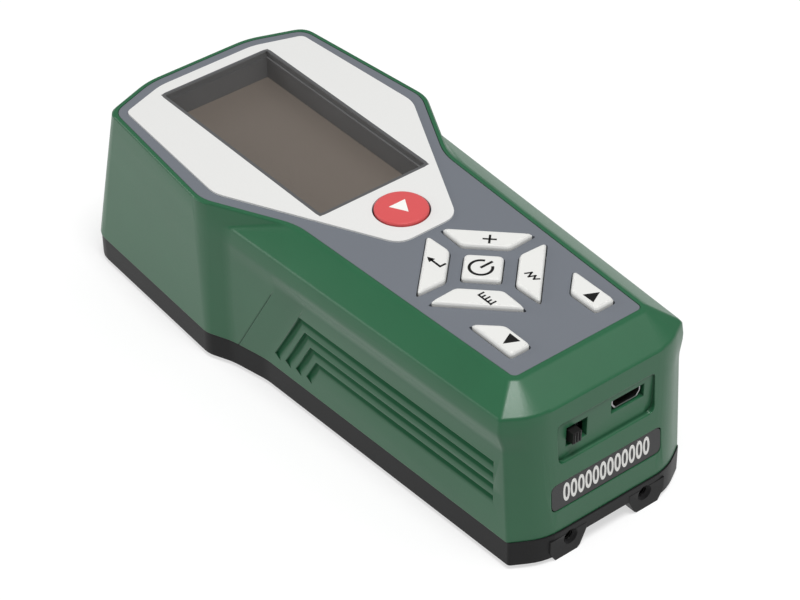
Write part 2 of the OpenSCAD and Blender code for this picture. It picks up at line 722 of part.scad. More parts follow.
module keypad_mat() {
    half = arrow_dome[1] + dome_r + 0.3;
    color([0.25, 0.25, 0.27]) {
        prism(mirrored([[window_x1 + 3.7, half, 1], [arrow_x1 + 4, half, 1]]), board_top_z, board_top_z + mat_t, 3);
        dome_places() translate([0, 0, board_top_z]) cylinder(r1 = dome_r, r2 = dome_r - 0.8, h = dome_z - board_top_z);
    }
}

module dome_places() {
    reach = (cluster_out + cluster_in) / 2;
    for (a = [45:90:315]) translate([cluster_x + reach * cos(a), reach * sin(a), 0]) children();
    for (p = [[start_x, 0], [cluster_x, 0], arrow_dome, [arrow_dome[0], -arrow_dome[1]]]) translate([p[0], p[1], 0]) children();
}

module start_button() {
    soft = 0.5;
    color(RED) translate([start_x, 0, 0]) rotate_extrude() polygon([
        [0, key_base_z], [start_r + flange_w, key_base_z], [start_r + flange_w, flange_z], [start_r, flange_z],
        [start_r, key_top_z - soft], [start_r - 0.15, key_top_z - 0.15], [start_r - soft, key_top_z], [0, key_top_z + 0.15]]);
}

module esc_key() { color(WHITE) key_cap(cluster_key(135)); }
module parameter_key() { color(WHITE) key_cap(cluster_key(45)); }
module unit_key() { color(WHITE) key_cap(cluster_key(-45)); }
module enter_key() { color(WHITE) key_cap(cluster_key(-135)); }
module power_key() { color(WHITE) key_cap(power_corners()); }
module up_key() { color(WHITE) key_cap(arrow_corners()); }
module down_key() { color(WHITE) key_cap(down_corners()); }

module serial_plate() {
    color(BLACK) on_end_face(serial_z) translate([0, 0, -serial_sink]) linear_extrude(serial_t) rounded_plate(serial_l, serial_h, 1.5);
}

// The slide switch hangs below the board. Its knob rests at the -Y end of the slot.

switch_x = near_x - switch_back;
switch_mid_z = board_z - 2.3;
knob_rest_y = switch_y - switch_travel / 2;
slot_w = knob_w + 2 * knob_lip + switch_travel + 2 * knob_gap;
slot_h = knob_h + 2 * knob_lip + knob_gap;

module switch_opening() {
    half = (knob_w + switch_travel) / 2 + slot_gap;
    box(switch_x - switch_l - 0.4, near_x + 2, switch_y - half, switch_y + half, board_z - switch_h + 0.1, board_z - 0.1);
}

module switch_body() {
    color(STEEL) difference() {
        box(switch_x - switch_l, switch_x, switch_y - switch_w / 2, switch_y + switch_w / 2, board_z - switch_h, board_z);
        box(switch_x - 1, switch_x + 1, switch_y - slot_w / 2, switch_y + slot_w / 2, switch_mid_z - slot_h / 2, switch_mid_z + slot_h / 2);
    }
}

module switch_knob() {
    base = [knob_w / 2 + knob_lip, knob_h / 2 + knob_lip];
    color(BLACK) {
        box(switch_x - 0.9, switch_x - 0.1, knob_rest_y - base[0], knob_rest_y + base[0], switch_mid_z - base[1], switch_mid_z + base[1]);
        box(switch_x - 0.9, switch_x + knob_l, knob_rest_y - knob_w / 2, knob_rest_y + knob_w / 2, switch_mid_z - knob_h / 2, switch_mid_z + knob_h / 2);
    }
}

// The socket hangs below the board too, with its mouth in the pocket.

usb_x1 = near_x - usb_back;
usb_x0 = usb_x1 - usb_l;
usb_floor = 1;
function usb_section(w) = let (x = usb_w / 2 - w, y = usb_h / 2 - w, cut = 0.85)
    [[-x, y], [x, y], [x, 0], [x - cut, -y], [-x + cut, -y], [-x, 0]];

module usb_shell() {
    color(STEEL) translate([0, usb_y, board_z - usb_h / 2]) difference() {
        x_extrude(usb_section(0), usb_x0, usb_x1);
        x_extrude(usb_section(usb_wall), usb_x0 + usb_floor, usb_x1 + 1);
    }
}

module usb_tongue() {
    color(BLACK) translate([0, usb_y, board_z - usb_h / 2]) box(usb_x0 + usb_floor, usb_x1 - 0.7, -usb_w / 4, usb_w / 4, 0.1, 0.75);
}

module battery() {
    x0 = frame_motor_x + motor_plate_w + 2;
    x1 = case_screw_near[0] - cover_boss_r - 0.1;
    color([0.35, 0.45, 0.6]) prism(mirrored([[x0, rail_y + rail_w + 1.8, 1.5], [x1, rail_y + rail_w + 1.8, 1.5]]), roof_z, screw_z - motor_r - battery_gap, 4);
}

// The drive: a frame with three plates, two guide rods, a lead screw and the carriage of the pickup.

module drive_frame() {
    half = rod_y + rod_r + rod_edge;
    top = screw_z + screw_r + screw_edge;
    color(STEEL) difference() {
        union() {
            for (x = [frame_front_x, frame_rear_x]) box(x, x + plate_w, -half, half, roof_z, top);
            box(frame_motor_x, frame_motor_x + motor_plate_w, -motor_plate_half, motor_plate_half, roof_z, top + motor_plate_up);
            on_both_sides() box(frame_front_x, frame_motor_x + motor_plate_w, frame_screw_y - foot_half, frame_screw_y + foot_half, roof_z, foot_z);
        }
        x_rod(pickup_r + pickup_gap + running, frame_front_x - 1, frame_front_x + plate_w + 1, 0, pickup_z);
        on_both_sides() x_rod(rod_r, frame_front_x - 1, frame_rear_x + plate_w + 1, rod_y, rod_z);
        x_rod(screw_r + running, frame_front_x - 1, frame_rear_x + plate_w + 1, 0, screw_z);
        x_rod(coupling_r + 0.2, frame_motor_x - 1, frame_motor_x + motor_plate_w + 1, 0, screw_z);
        for (x = frame_screw_x, s = [-1, 1]) translate([x, s * frame_screw_y, roof_z - 1]) cylinder(r = frame_fix[2] + 0.3, h = foot_h + 2);
    }
}

module guide_rod() {
    color(STEEL) x_rod(rod_r, frame_front_x, frame_rear_x + plate_w, rod_y, rod_z);
}
module guide_rod_right() { guide_rod(); }
module guide_rod_left() { mirror([0, 1, 0]) guide_rod(); }

module lead_screw() {
    color(STEEL) x_rod(screw_r, frame_front_x, frame_rear_x + plate_w + screw_out, 0, screw_z);
}

module shaft_coupling() {
    color([0.75, 0.6, 0.3]) difference() {
        x_rod(coupling_r, frame_rear_x + plate_w + 0.6, frame_motor_x + 5, 0, screw_z);
        x_rod(screw_r, frame_rear_x + plate_w, frame_rear_x + plate_w + screw_out, 0, screw_z);
    }
}

module gearbox() {
    x0 = frame_motor_x + motor_plate_w;
    color([0.3, 0.3, 0.32]) difference() {
        x_rod(motor_r, x0, x0 + gearbox_l, 0, screw_z);
        x_rod(coupling_r + 0.2, x0 - 1, x0 + 4, 0, screw_z);
    }
}

module drive_motor() {
    x0 = frame_motor_x + motor_plate_w + gearbox_l;
    color(STEEL) {
        x_rod(motor_r, x0, x0 + motor_l, 0, screw_z);
        x_rod(3, x0 + motor_l - 1, x0 + motor_l + 2, 0, screw_z);
    }
}

module carriage() {
    x1 = carriage_x + carriage_l;
    half = rod_y + rod_r + 1.5;
    color(BLACK) difference() {
        union() {
            box(carriage_x + 1, x1, -half, half, block_z0, block_z1);
            x_rod(pickup_r + 1, carriage_x, x1, 0, pickup_z);
            box(carriage_x + 1, x1, 0.5 - pickup_r, pickup_r - 0.5, pickup_z + 1, block_z0 + 1.8);
        }
        on_both_sides() x_rod(rod_r + running, carriage_x - 1, x1 + 1, rod_y, rod_z);
        x_rod(screw_r + running, carriage_x - 1, x1 + 1, 0, screw_z);
        x_rod(stem_r, carriage_x - 1, carriage_x + socket_l, 0, pickup_z);
    }
}

module pickup_tube() {
    x0 = nose_x + skid_l;
    color(STEEL) difference() {
        union() {
            x_rod(pickup_r, x0, carriage_x, 0, pickup_z);
            x_rod(stem_r, carriage_x - 0.5, carriage_x + socket_l, 0, pickup_z);
        }
        x_rod(bore_r, x0 - 1, tilt_x + 8, 0, pickup_z);
        pivot_pin(pivot_r, 3 * pickup_r);
    }
}

module skid_nose() {
    color(STEEL) translate([nose_x, 0, 0]) difference() {
        union() {
            x_rod(pickup_r, skid_l - 4, skid_l, 0, pickup_z);
            translate([0, 1.6, 0]) rotate([90, 0, 0]) linear_extrude(3.2)
                polygon([[0, skid_z + 1.1], [0.8, skid_z], [2.2, skid_z], [4.2, skid_z + 1.1], [skid_l - 2, pickup_z - 3],
                         [skid_l - 2, pickup_z + bore_r], [4, pickup_z + 1], [0, pickup_z - 1.6]]);
        }
        box(3, skid_l + 1, -head_r - 0.2, head_r + 0.2, -1, pickup_z + 1);
        x_rod(bore_r, skid_l - 6, skid_l + 1, 0, pickup_z);
    }
}

module pivot_pin(r, l) {
    translate([tilt_x, -l / 2, pickup_z]) rotate([-90, 0, 0]) cylinder(r = r, h = l);
}

module stylus_pivot() {
    color(STEEL) pivot_pin(pivot_r, 2 * pickup_r - 1.2);
}

// The arm ends in a small head, and the tip sits in a hole in the head.
head_z0 = pickup_z - head_h / 2;
tip_top_z = head_z0 + tip_in;

module stylus_arm() {
    color(STEEL) difference() {
        union() {
            x_rod(arm_r, tip_x, tilt_x, 0, pickup_z);
            x_rod(hub_r, tilt_x - hub_front, tilt_x + hub_back, 0, pickup_z);
            translate([tip_x, 0, head_z0]) cylinder(r = head_r, h = head_h);
        }
        translate([tip_x, 0, head_z0 - 1]) cylinder(r = tip_r, h = tip_top_z - head_z0 + 1);
        pivot_pin(pivot_r + pivot_gap, 4 * hub_r);
    }
}

module stylus_tip() {
    cone_h = 0.8;
    color([0.9, 0.8, 0.5]) translate([tip_x, 0, tip_z]) {
        cylinder(r1 = 0.06, r2 = tip_r, h = cone_h);
        translate([0, 0, cone_h]) cylinder(r = tip_r, h = tip_top_z - tip_z - cone_h);
    }
}

// Fasteners: a head with a cross slot and a plain shank.

module cross_screw(fix) {
    difference() {
        union() {
            translate([0, 0, -fix[1]]) cylinder(r = fix[0], h = fix[1]);
            cylinder(r = fix[2], h = fix[3]);
        }
        for (a = [0, 90]) rotate([0, 0, a]) translate([-fix[0] * 0.6, -fix[0] * 0.14, -fix[1] - 1]) cube([fix[0] * 1.2, fix[0] * 0.28, 1 + fix[1] * 0.5]);
    }
}

module case_screw(p, s) { color(STEEL) translate([p[0], s * p[1], case_seat_z]) cross_screw(case_fix); }
module board_screw(p, s) { color(STEEL) translate([p[0], s * p[1], board_z]) cross_screw(board_fix); }
module frame_screw(x, s) { color(STEEL) translate([x, s * frame_screw_y, foot_z]) mirror([0, 0, 1]) cross_screw(frame_fix); }

upper_housing();
bottom_cover();
face_panel();
display_plate();
window_shroud();
window_lens();
lcd_panel();
backlight();
main_board();
keypad_mat();
start_button();
esc_key();
parameter_key();
unit_key();
enter_key();
power_key();
up_key();
down_key();
serial_plate();
switch_body();
switch_knob();
usb_shell();
usb_tongue();
battery();
drive_frame();
guide_rod_left();
guide_rod_right();
lead_screw();
shaft_coupling();
gearbox();
drive_motor();
carriage();
pickup_tube();
skid_nose();
stylus_arm();
stylus_tip();
stylus_pivot();
case_screw(case_screw_far, -1);  // case_screw_1
case_screw(case_screw_far, 1);  // case_screw_2
case_screw(case_screw_near, -1);  // case_screw_3
case_screw(case_screw_near, 1);  // case_screw_4
board_screw(board_screw_far, -1);  // board_screw_1
board_screw(board_screw_far, 1);  // board_screw_2
board_screw(board_screw_near, -1);  // board_screw_3
board_screw(board_screw_near, 1);  // board_screw_4
frame_screw(frame_screw_x[0], -1);  // frame_screw_1
frame_screw(frame_screw_x[0], 1);  // frame_screw_2
frame_screw(frame_screw_x[1], -1);  // frame_screw_3
frame_screw(frame_screw_x[1], 1);  // frame_screw_4
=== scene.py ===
"""Looks of a handheld surface roughness tester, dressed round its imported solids.

The case, keys, window, port end and drive keep the shapes of the frame. This
script gives each of them its finish and adds the printed signs, the window
line, the stamped numbers and the small fittings that the solids leave out.
"""

from __future__ import annotations

import json
import logging
import math
from dataclasses import dataclass, field
from enum import Enum
from typing import Any, Mapping, Sequence

import bpy
from mathutils import Matrix, Vector

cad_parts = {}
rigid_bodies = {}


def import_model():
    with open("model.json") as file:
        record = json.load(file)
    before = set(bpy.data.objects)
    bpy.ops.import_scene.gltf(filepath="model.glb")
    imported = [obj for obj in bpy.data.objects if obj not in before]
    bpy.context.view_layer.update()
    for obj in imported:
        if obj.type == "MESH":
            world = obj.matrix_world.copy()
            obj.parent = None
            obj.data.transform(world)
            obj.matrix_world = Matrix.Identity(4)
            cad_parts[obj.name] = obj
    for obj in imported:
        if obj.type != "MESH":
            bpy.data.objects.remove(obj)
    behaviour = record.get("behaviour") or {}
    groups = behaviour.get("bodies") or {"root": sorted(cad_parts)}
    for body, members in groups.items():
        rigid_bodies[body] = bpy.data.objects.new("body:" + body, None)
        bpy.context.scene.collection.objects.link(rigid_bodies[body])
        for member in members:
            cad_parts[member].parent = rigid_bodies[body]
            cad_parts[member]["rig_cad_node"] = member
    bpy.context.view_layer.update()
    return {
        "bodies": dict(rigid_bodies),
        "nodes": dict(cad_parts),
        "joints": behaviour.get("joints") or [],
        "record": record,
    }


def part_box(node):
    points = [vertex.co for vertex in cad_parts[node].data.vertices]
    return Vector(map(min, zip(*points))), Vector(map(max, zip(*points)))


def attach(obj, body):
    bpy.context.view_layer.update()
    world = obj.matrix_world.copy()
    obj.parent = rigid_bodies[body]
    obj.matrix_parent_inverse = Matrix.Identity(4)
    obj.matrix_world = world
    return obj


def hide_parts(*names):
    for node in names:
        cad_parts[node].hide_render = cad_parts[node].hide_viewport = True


log = logging.getLogger("tester")

MM = 0.001
Rgb = tuple[float, float, float]
Place = tuple[float, float, float]
Point = tuple[float, float]
Span = tuple[float, float]
Socket = bpy.types.NodeSocket

WHITE = (1.0, 1.0, 1.0, 1.0)
WAVE_TURN = math.pi / 10.0


class Grain(Enum):
    """Direction of the fine lines on a metal."""

    ALONG = (1.0, 24.0, 24.0)
    ACROSS = (24.0, 1.0, 24.0)
    TURNED = (24.0, 1.0, 1.0)


class Graph:
    """The nodes of one material, laid down one by one."""

    samples = 6
    noise_span: Span = (0.25, 0.75)
    edge_span: Span = (0.75, 0.985)
    # Range of ambient occlusion over which painted shade fills a crease.
    crease_shade_span: Span = (0.45, 0.92)

    def __init__(self, name: str) -> None:
        """Starts an empty material with its output and its surface shader."""
        self.material = bpy.data.materials.new(name)
        self.material.use_nodes = True
        self.tree = self.material.node_tree
        self.tree.nodes.clear()
        self.output = self.add("ShaderNodeOutputMaterial")
        self.surface = self.add("ShaderNodeBsdfPrincipled")
        self.wire(self.output, {"Surface": self.surface.outputs[0]})
        self.place = self.add("ShaderNodeTexCoord").outputs["Object"]

    def add(self, kind: str, inputs: Mapping[Any, Any] | None = None, **settings: Any) -> bpy.types.Node:
        """Adds a node.

        Args:
            kind: The node's type name.
            inputs: Values or sockets for its inputs, by name or index.
            **settings: Attributes of the node itself.

        Returns:
            The new node.
        """
        node = self.tree.nodes.new(kind)
        for key, value in settings.items():
            setattr(node, key, value)
        self.wire(node, inputs or {})
        return node

    def wire(self, node: bpy.types.Node, inputs: Mapping[Any, Any]) -> None:
        """Sets or links the inputs of a node.

        Args:
            node: The node to feed.
            inputs: Values or output sockets, by input name or index.
        """
        for key, value in inputs.items():
            if isinstance(value, Socket):
                self.tree.links.new(value, node.inputs[key])
            else:
                node.inputs[key].default_value = value

    def noise(self, size: float, detail: float = 2.0, stretch: Sequence[float] | None = None) -> Socket:
        """Lays down a noise whose spots are about one size.

        Args:
            size: Size of a spot, in metres.
            detail: Octaves of finer noise.
            stretch: Scale of the coordinates along X, Y and Z.

        Returns:
            The noise's value.
        """
        place = self.place
        if stretch is not None:
            place = self.add("ShaderNodeMapping", {"Vector": place, "Scale": tuple(stretch)}).outputs[0]
        return self.add("ShaderNodeTexNoise", {"Vector": place, "Scale": 1.0 / size, "Detail": detail}).outputs[0]

    def ranged(self, value: Socket, span: Span, low: float, high: float, kind: str = "LINEAR") -> Socket:
        """Maps one range of a value onto another.

        Args:
            value: The value.
            span: The value's own range.
            low: Result at the start of the range.
            high: Result at its end.
            kind: The way from one to the other.

        Returns:
            The mapped value.
        """
        ends = {"From Min": span[0], "From Max": span[1], "To Min": low, "To Max": high}
        return self.add("ShaderNodeMapRange", {"Value": value, **ends}, interpolation_type=kind).outputs[0]

    def spread(self, value: Socket, low: float, high: float) -> Socket:
        """Spreads the middle half of a noise over a range."""
        return self.ranged(value, self.noise_span, low, high)

    def tint(self, share: Socket, first: Rgb, second: Rgb) -> Socket:
        """Mixes two colours by a share."""
        return self.blend(share, (*first, 1.0), (*second, 1.0))

    def bump(self, height: Socket, depth: float, strength: float = 1.0, under: Any = None) -> Socket:
        """Raises a relief.

        Args:
            height: Height of the relief, from 0 to 1.
            depth: Depth of the relief, in metres.
            strength: Share of the relief that shows.
            under: Normal that the relief lies on, if it isn't the face's own.

        Returns:
            The bent normal.
        """
        inputs: dict[Any, Any] = {"Height": height, "Distance": depth, "Strength": strength}
        if under is not None:
            inputs["Normal"] = under
        return self.add("ShaderNodeBump", inputs).outputs[0]

    def blend(self, share: Socket, first: Any, second: Any) -> Socket:
        """Mixes two colours or colour sockets by a share."""
        return self.add("ShaderNodeMix", {0: share, 6: first, 7: second}, data_type="RGBA").outputs[2]

    def soft_edge(self, radius: float) -> Socket:
        """Rounds the sharp edges of a moulding in its shading."""
        return self.add("ShaderNodeBevel", {"Radius": radius}, samples=self.samples).outputs[0]

    def rubbed(self, soft: Socket, most: float) -> Socket:
        """Finds the edges that hands rub.

        Args:
            soft: The normal with rounded edges.
            most: Share at a sharp edge.

        Returns:
            A share that is 0 away from the edges.
        """
        normal = self.add("ShaderNodeNewGeometry").outputs["Normal"]
        same = self.add("ShaderNodeVectorMath", {0: soft, 1: normal}, operation="DOT_PRODUCT").outputs["Value"]
        return self.ranged(same, self.edge_span, most, 0.0)

    def painted_crease_shade(self, reach: float, most: float) -> Socket:
        """Finds the narrow creases, where the finishes paint shade.

        Args:
            reach: Width of a crease, in metres.
            most: Share deep in a crease.

        Returns:
            A share that is 0 on open faces.
        """
        shelter = self.add("ShaderNodeAmbientOcclusion", {"Distance": reach}, samples=self.samples, only_local=True)
        return self.ranged(shelter.outputs["AO"], self.crease_shade_span, most, 0.0)


def lighter(colour: Rgb, share: float, most: float = 0.95) -> Rgb:
    """Scales a colour by one plus a share, kept below white."""
    return tuple(min(most, c * (1.0 + share)) for c in colour)


@dataclass(frozen=True)
class Moulded:
    """Moulded plastic: a spark-eroded grain, soft rubbed edges and painted shade in its creases."""

    name: str
    colour: Rgb
    roughness: float = 0.4
    drift: float = 0.05
    grain: float = 0.35 * MM
    depth: float = 0.012 * MM
    edge: float = 0.25 * MM
    shine: float = 0.25
    rub: float = 0.25
    # Painted shade in creases: share and reach here, tone below; dull is how much the same share raises the roughness.
    crease_shade: float = 0.45
    crease_shade_reach: float = 1.3 * MM
    dull: float = 0.45
    cloud: float = 14 * MM
    sway: float = 0.06
    rub_tone: float = 0.6
    crease_shade_tone: float = -0.8
    # Painted shade in the grip's grooves, from a point attribute: its name, depth range, tone and gloss.
    groove: str = ""
    groove_span: Span = (0.05, 0.36)
    groove_tone: float = -0.15
    groove_shine: float = 0.03

    def material(self) -> bpy.types.Material:
        """Lays down the plastic's nodes."""
        g = Graph(self.name)
        cloud = g.noise(self.cloud, 3.0)
        fine = g.noise(self.grain, 3.0)
        speck = g.noise(self.grain * 0.35, 1.0)
        soft = g.soft_edge(self.edge)
        plain = g.tint(g.spread(cloud, 0.0, 1.0), lighter(self.colour, -self.drift), lighter(self.colour, self.drift))
        rubbed = g.blend(g.rubbed(soft, self.rub), plain, (*lighter(self.colour, self.rub_tone), 1.0))
        # Painted shade: creases found by ambient occlusion take a darker colour, and the same share raises the
        # roughness.
        deep = g.painted_crease_shade(self.crease_shade_reach, self.crease_shade)
        shaded = g.blend(deep, rubbed, (*lighter(self.colour, self.crease_shade_tone), 1.0))
        polish = g.spread(speck, self.roughness - self.sway, self.roughness + self.sway)
        dulled = g.add("ShaderNodeMath", {0: deep, 1: self.dull, 2: polish}, operation="MULTIPLY_ADD", use_clamp=True)
        gloss: Any = self.shine
        # Painted shade in the grip's grooves: the deeper a point lies, the darker its colour and the lower its gloss.
        if self.groove:
            depth = g.add("ShaderNodeAttribute", attribute_name=self.groove).outputs["Fac"]
            share = g.ranged(depth, self.groove_span, 0.0, 1.0, "SMOOTHSTEP")
            shaded = g.blend(share, shaded, (*lighter(self.colour, self.groove_tone), 1.0))
            gloss = g.ranged(share, (0.0, 1.0), self.shine, self.groove_shine)
        g.wire(g.surface, {
            "Base Color": shaded,
            "Roughness": dulled.outputs[0],
            "Specular IOR Level": gloss,
            "Normal": g.bump(fine, self.depth, 0.8, soft),
        })
        return g.material


@dataclass(frozen=True)
class Coated:
    """A painted or printed film with a silky, very fine fleck."""

    name: str
    colour: Rgb
    roughness: float = 0.38
    fleck: float = 0.04
    size: float = 0.12 * MM
    depth: float = 0.003 * MM
    shine: float = 0.5
    cloud: float = 22 * MM
    sway: float = 0.04

    def material(self) -> bpy.types.Material:
        """Lays down the film's nodes."""
        g = Graph(self.name)
        fine = g.noise(self.size, 2.0)
        cloud = g.noise(self.cloud, 2.0)
        share = g.spread(fine, 0.0, 1.0)
        g.wire(g.surface, {
            "Base Color": g.tint(share, lighter(self.colour, -self.fleck), lighter(self.colour, self.fleck)),
            "Roughness": g.spread(cloud, self.roughness - self.sway, self.roughness + self.sway),
            "Specular IOR Level": self.shine,
            "Normal": g.bump(fine, self.depth, 0.7),
        })
        return g.material


@dataclass(frozen=True)
class Machined:
    """Ground, brushed or turned metal with fine lines."""

    name: str
    colour: Rgb
    roughness: float = 0.32
    grain: Grain = Grain.ALONG
    line: float = 1.2 * MM
    depth: float = 0.004 * MM
    fleck: float = 0.08
    smudge: float = 9 * MM

    def material(self) -> bpy.types.Material:
        """Lays down the metal's nodes."""
        g = Graph(self.name)
        lines = g.noise(self.line, 4.0, self.grain.value)
        smudge = g.noise(self.smudge, 2.0)
        share = g.spread(lines, 0.0, 1.0)
        g.wire(g.surface, {
            "Base Color": g.tint(share, lighter(self.colour, -self.fleck), lighter(self.colour, self.fleck)),
            "Metallic": 1.0,
            "Roughness": g.spread(smudge, self.roughness - 0.06, self.roughness + 0.08),
            "Normal": g.bump(lines, self.depth, 0.6),
        })
        return g.material


@dataclass(frozen=True)
class Threaded:
    """Steel with the turns of a thread along X."""

    name: str
    colour: Rgb
    pitch: float
    depth: float
    roughness: float = 0.28
    root_tone: float = -0.35
    stain: float = 3 * MM

    def material(self) -> bpy.types.Material:
        """Lays down the thread's nodes."""
        g = Graph(self.name)
        inputs = {"Vector": g.place, "Scale": WAVE_TURN / self.pitch, "Distortion": 0.0}
        wave = g.add("ShaderNodeTexWave", inputs, wave_type="BANDS", bands_direction="X", wave_profile="TRI")
        turns = wave.outputs[1]
        stain = g.noise(self.stain, 3.0)
        g.wire(g.surface, {
            "Base Color": g.tint(turns, lighter(self.colour, self.root_tone), self.colour),
            "Metallic": 1.0,
            "Roughness": g.spread(stain, self.roughness - 0.05, self.roughness + 0.08),
            "Normal": g.bump(turns, self.depth),
        })
        return g.material


@dataclass(frozen=True)
class Clear:
    """A clear thin window with a gloss and a faint smear that dulls it."""

    name: str
    colour: Rgb
    veil: float = 0.12
    roughness: float = 0.04
    shine: float = 0.8
    coat: float = 0.5
    smear: float = 8 * MM

    def material(self) -> bpy.types.Material:
        """Lays down the window's nodes."""
        g = Graph(self.name)
        smear = g.noise(self.smear, 3.0)
        g.wire(g.surface, {
            "Base Color": (*self.colour, 1.0),
            "Roughness": g.spread(smear, self.roughness, self.roughness + 0.04),
            "Specular IOR Level": self.shine,
            "Coat Weight": self.coat,
            "Alpha": self.veil,
        })
        return g.material


@dataclass(frozen=True)
class Display:
    """A dark display with its fine grid of dots, switched off."""

    name: str
    colour: Rgb
    pitch: float = 0.42 * MM
    dot_tones: Span = (-0.04, 0.03)
    cloud: float = 16 * MM
    cloud_tone: float = -0.12
    cloud_share: float = 0.25
    polish: Span = (0.3, 0.36)
    depth: float = 0.001 * MM

    def material(self) -> bpy.types.Material:
        """Lays down the display's nodes."""
        g = Graph(self.name)
        inputs = {"Vector": g.place, "Scale": WAVE_TURN / self.pitch}
        waves = [g.add("ShaderNodeTexWave", inputs, wave_type="BANDS", bands_direction=way) for way in ("X", "Y")]
        crossed = {0: waves[0].outputs[1], 1: waves[1].outputs[1]}
        grid = g.add("ShaderNodeMath", crossed, operation="MULTIPLY").outputs[0]
        cloud = g.noise(self.cloud, 2.0)
        dots = g.tint(grid, *(lighter(self.colour, tone) for tone in self.dot_tones))
        share = g.spread(cloud, 0.0, self.cloud_share)
        g.wire(g.surface, {
            "Base Color": g.blend(share, dots, (*lighter(self.colour, self.cloud_tone), 1.0)),
            "Roughness": g.spread(cloud, *self.polish),
            "Normal": g.bump(grid, self.depth, 0.5),
        })
        return g.material


@dataclass(frozen=True)
class Circuit:
    """A lacquered board with copper runs below the lacquer."""

    name: str
    colour: Rgb
    run: float = 0.3 * MM
    block: Span = (6.5 * MM, 1.6 * MM)
    run_tone: float = 0.55
    stain: float = 1.6 * MM
    polish: Span = (0.3, 0.42)
    depth: float = 0.02 * MM

    def material(self) -> bpy.types.Material:
        """Lays down the board's nodes."""
        g = Graph(self.name)
        inputs = {"Vector": g.place, "Scale": 1.0, "Mortar Size": self.run, "Mortar Smooth": 0.1,
                  "Brick Width": self.block[0], "Row Height": self.block[1]}
        runs = g.add("ShaderNodeTexBrick", inputs, offset=0.37).outputs["Fac"]
        stain = g.noise(self.stain, 2.0)
        g.wire(g.surface, {
            "Base Color": g.tint(runs, self.colour, lighter(self.colour, self.run_tone)),
            "Roughness": g.spread(stain, *self.polish),
            "Normal": g.bump(runs, self.depth),
        })
        return g.material


# Each moulded finish's crease share paints shade into its creases and hollows.
GREEN_CASE = Moulded("green_case", (0.02, 0.122, 0.053), roughness=0.34, shine=0.42, rub=0.1, crease_shade=0.7,
                     groove="groove")
BLACK_COVER = Moulded("black_cover", (0.0105, 0.0105, 0.011), roughness=0.44, drift=0.08, shine=0.16, rub=0.1)
GREY_PANEL = Coated("grey_panel", (0.163, 0.178, 0.204), roughness=0.42)
SILVER_PLATE = Coated("silver_plate", (0.79, 0.79, 0.776), roughness=0.4, fleck=0.02)
DARK_SHROUD = Moulded("dark_shroud", (0.2, 0.2, 0.201), roughness=0.5, crease_shade=0.1, depth=0.003 * MM, rub=0.0)
CLEAR_LENS = Clear("clear_lens", (0.02, 0.02, 0.02))
DISPLAY_GLASS = Display("display_glass", (0.256, 0.216, 0.182))
LIGHT_GUIDE = Coated("light_guide", (0.82, 0.82, 0.78))
CIRCUIT_BOARD = Circuit("circuit_board", (0.012, 0.09, 0.04))
KEYPAD_RUBBER = Moulded("keypad_rubber", (0.05, 0.05, 0.055), roughness=0.7)
RED_KEY = Moulded("red_key", (0.69, 0.1, 0.104), roughness=0.34, drift=0.02, depth=0.005 * MM, rub=0.1, crease_shade=0.3)
WHITE_KEY = Moulded("white_key", (0.79, 0.79, 0.767), roughness=0.34, drift=0.015, depth=0.005 * MM,
                    edge=0.3 * MM, rub=0.1, crease_shade=0.3)
SERIAL_BLACK = Coated("serial_black", (0.02, 0.02, 0.0215), roughness=0.3, fleck=0.1, shine=0.38)
SWITCH_BLACK = Moulded("switch_black", (0.014, 0.013, 0.013), roughness=0.42)
TIN_PLATE = Machined("tin_plate", (0.36, 0.36, 0.37), roughness=0.3)
BATTERY_FILM = Coated("battery_film", (0.05, 0.1, 0.22), roughness=0.25)
DRIVE_ALUMINIUM = Machined("drive_aluminium", (0.66, 0.67, 0.69), grain=Grain.ACROSS)
DRIVE_STEEL = Machined("drive_steel", (0.58, 0.58, 0.6), roughness=0.26)
SCREW_THREAD = Threaded("lead_thread", (0.55, 0.55, 0.57), pitch=1.75 * MM, depth=0.25 * MM)
COUPLING_BRASS = Machined("coupling_brass", (0.72, 0.5, 0.2), grain=Grain.TURNED)
GEARBOX_BLACK = Coated("gearbox_black", (0.03, 0.03, 0.033), roughness=0.5)
CARRIAGE_BLACK = Moulded("carriage_black", (0.04, 0.04, 0.043), roughness=0.5)
PICKUP_STEEL = Machined("pickup_steel", (0.6, 0.6, 0.61), roughness=0.24, grain=Grain.TURNED)
TIP_DIAMOND = Coated("tip_diamond", (0.6, 0.48, 0.25), roughness=0.12)
SCREW_STEEL = Machined("screw_steel", (0.5, 0.5, 0.52), grain=Grain.ACROSS)
BLACK_INK = Coated("black_ink", (0.012, 0.012, 0.012), roughness=0.5, fleck=0.2, shine=0.12)
WHITE_INK = Coated("white_ink", (0.92, 0.92, 0.89), roughness=0.5, fleck=0.02)
LINE_INK = Coated("line_ink", (0.1, 0.102, 0.105), roughness=0.4, fleck=0.06)
GOLD_PAD = Machined("gold_pad", (0.6, 0.44, 0.18), roughness=0.25)


class FinishBook:
    """Makes each finish once and hands it out."""

    def __init__(self) -> None:
        """Starts with no finish made."""
        self.made: dict[str, bpy.types.Material] = {}

    def get(self, finish: Any) -> bpy.types.Material:
        """Returns the material of a finish, made on first use."""
        if finish.name not in self.made:
            self.made[finish.name] = finish.material()
        return self.made[finish.name]

    def paint(self, thing: bpy.types.Object, finish: Any) -> None:
        """Gives an object one finish all over.

        Args:
            thing: A node of the frame or a new piece.
            finish: The finish to give it.
        """
        slots = thing.data.materials
        material = self.get(finish)
        if len(slots) == 0:
            slots.append(material)
        for i in range(len(slots)):
            slots[i] = material


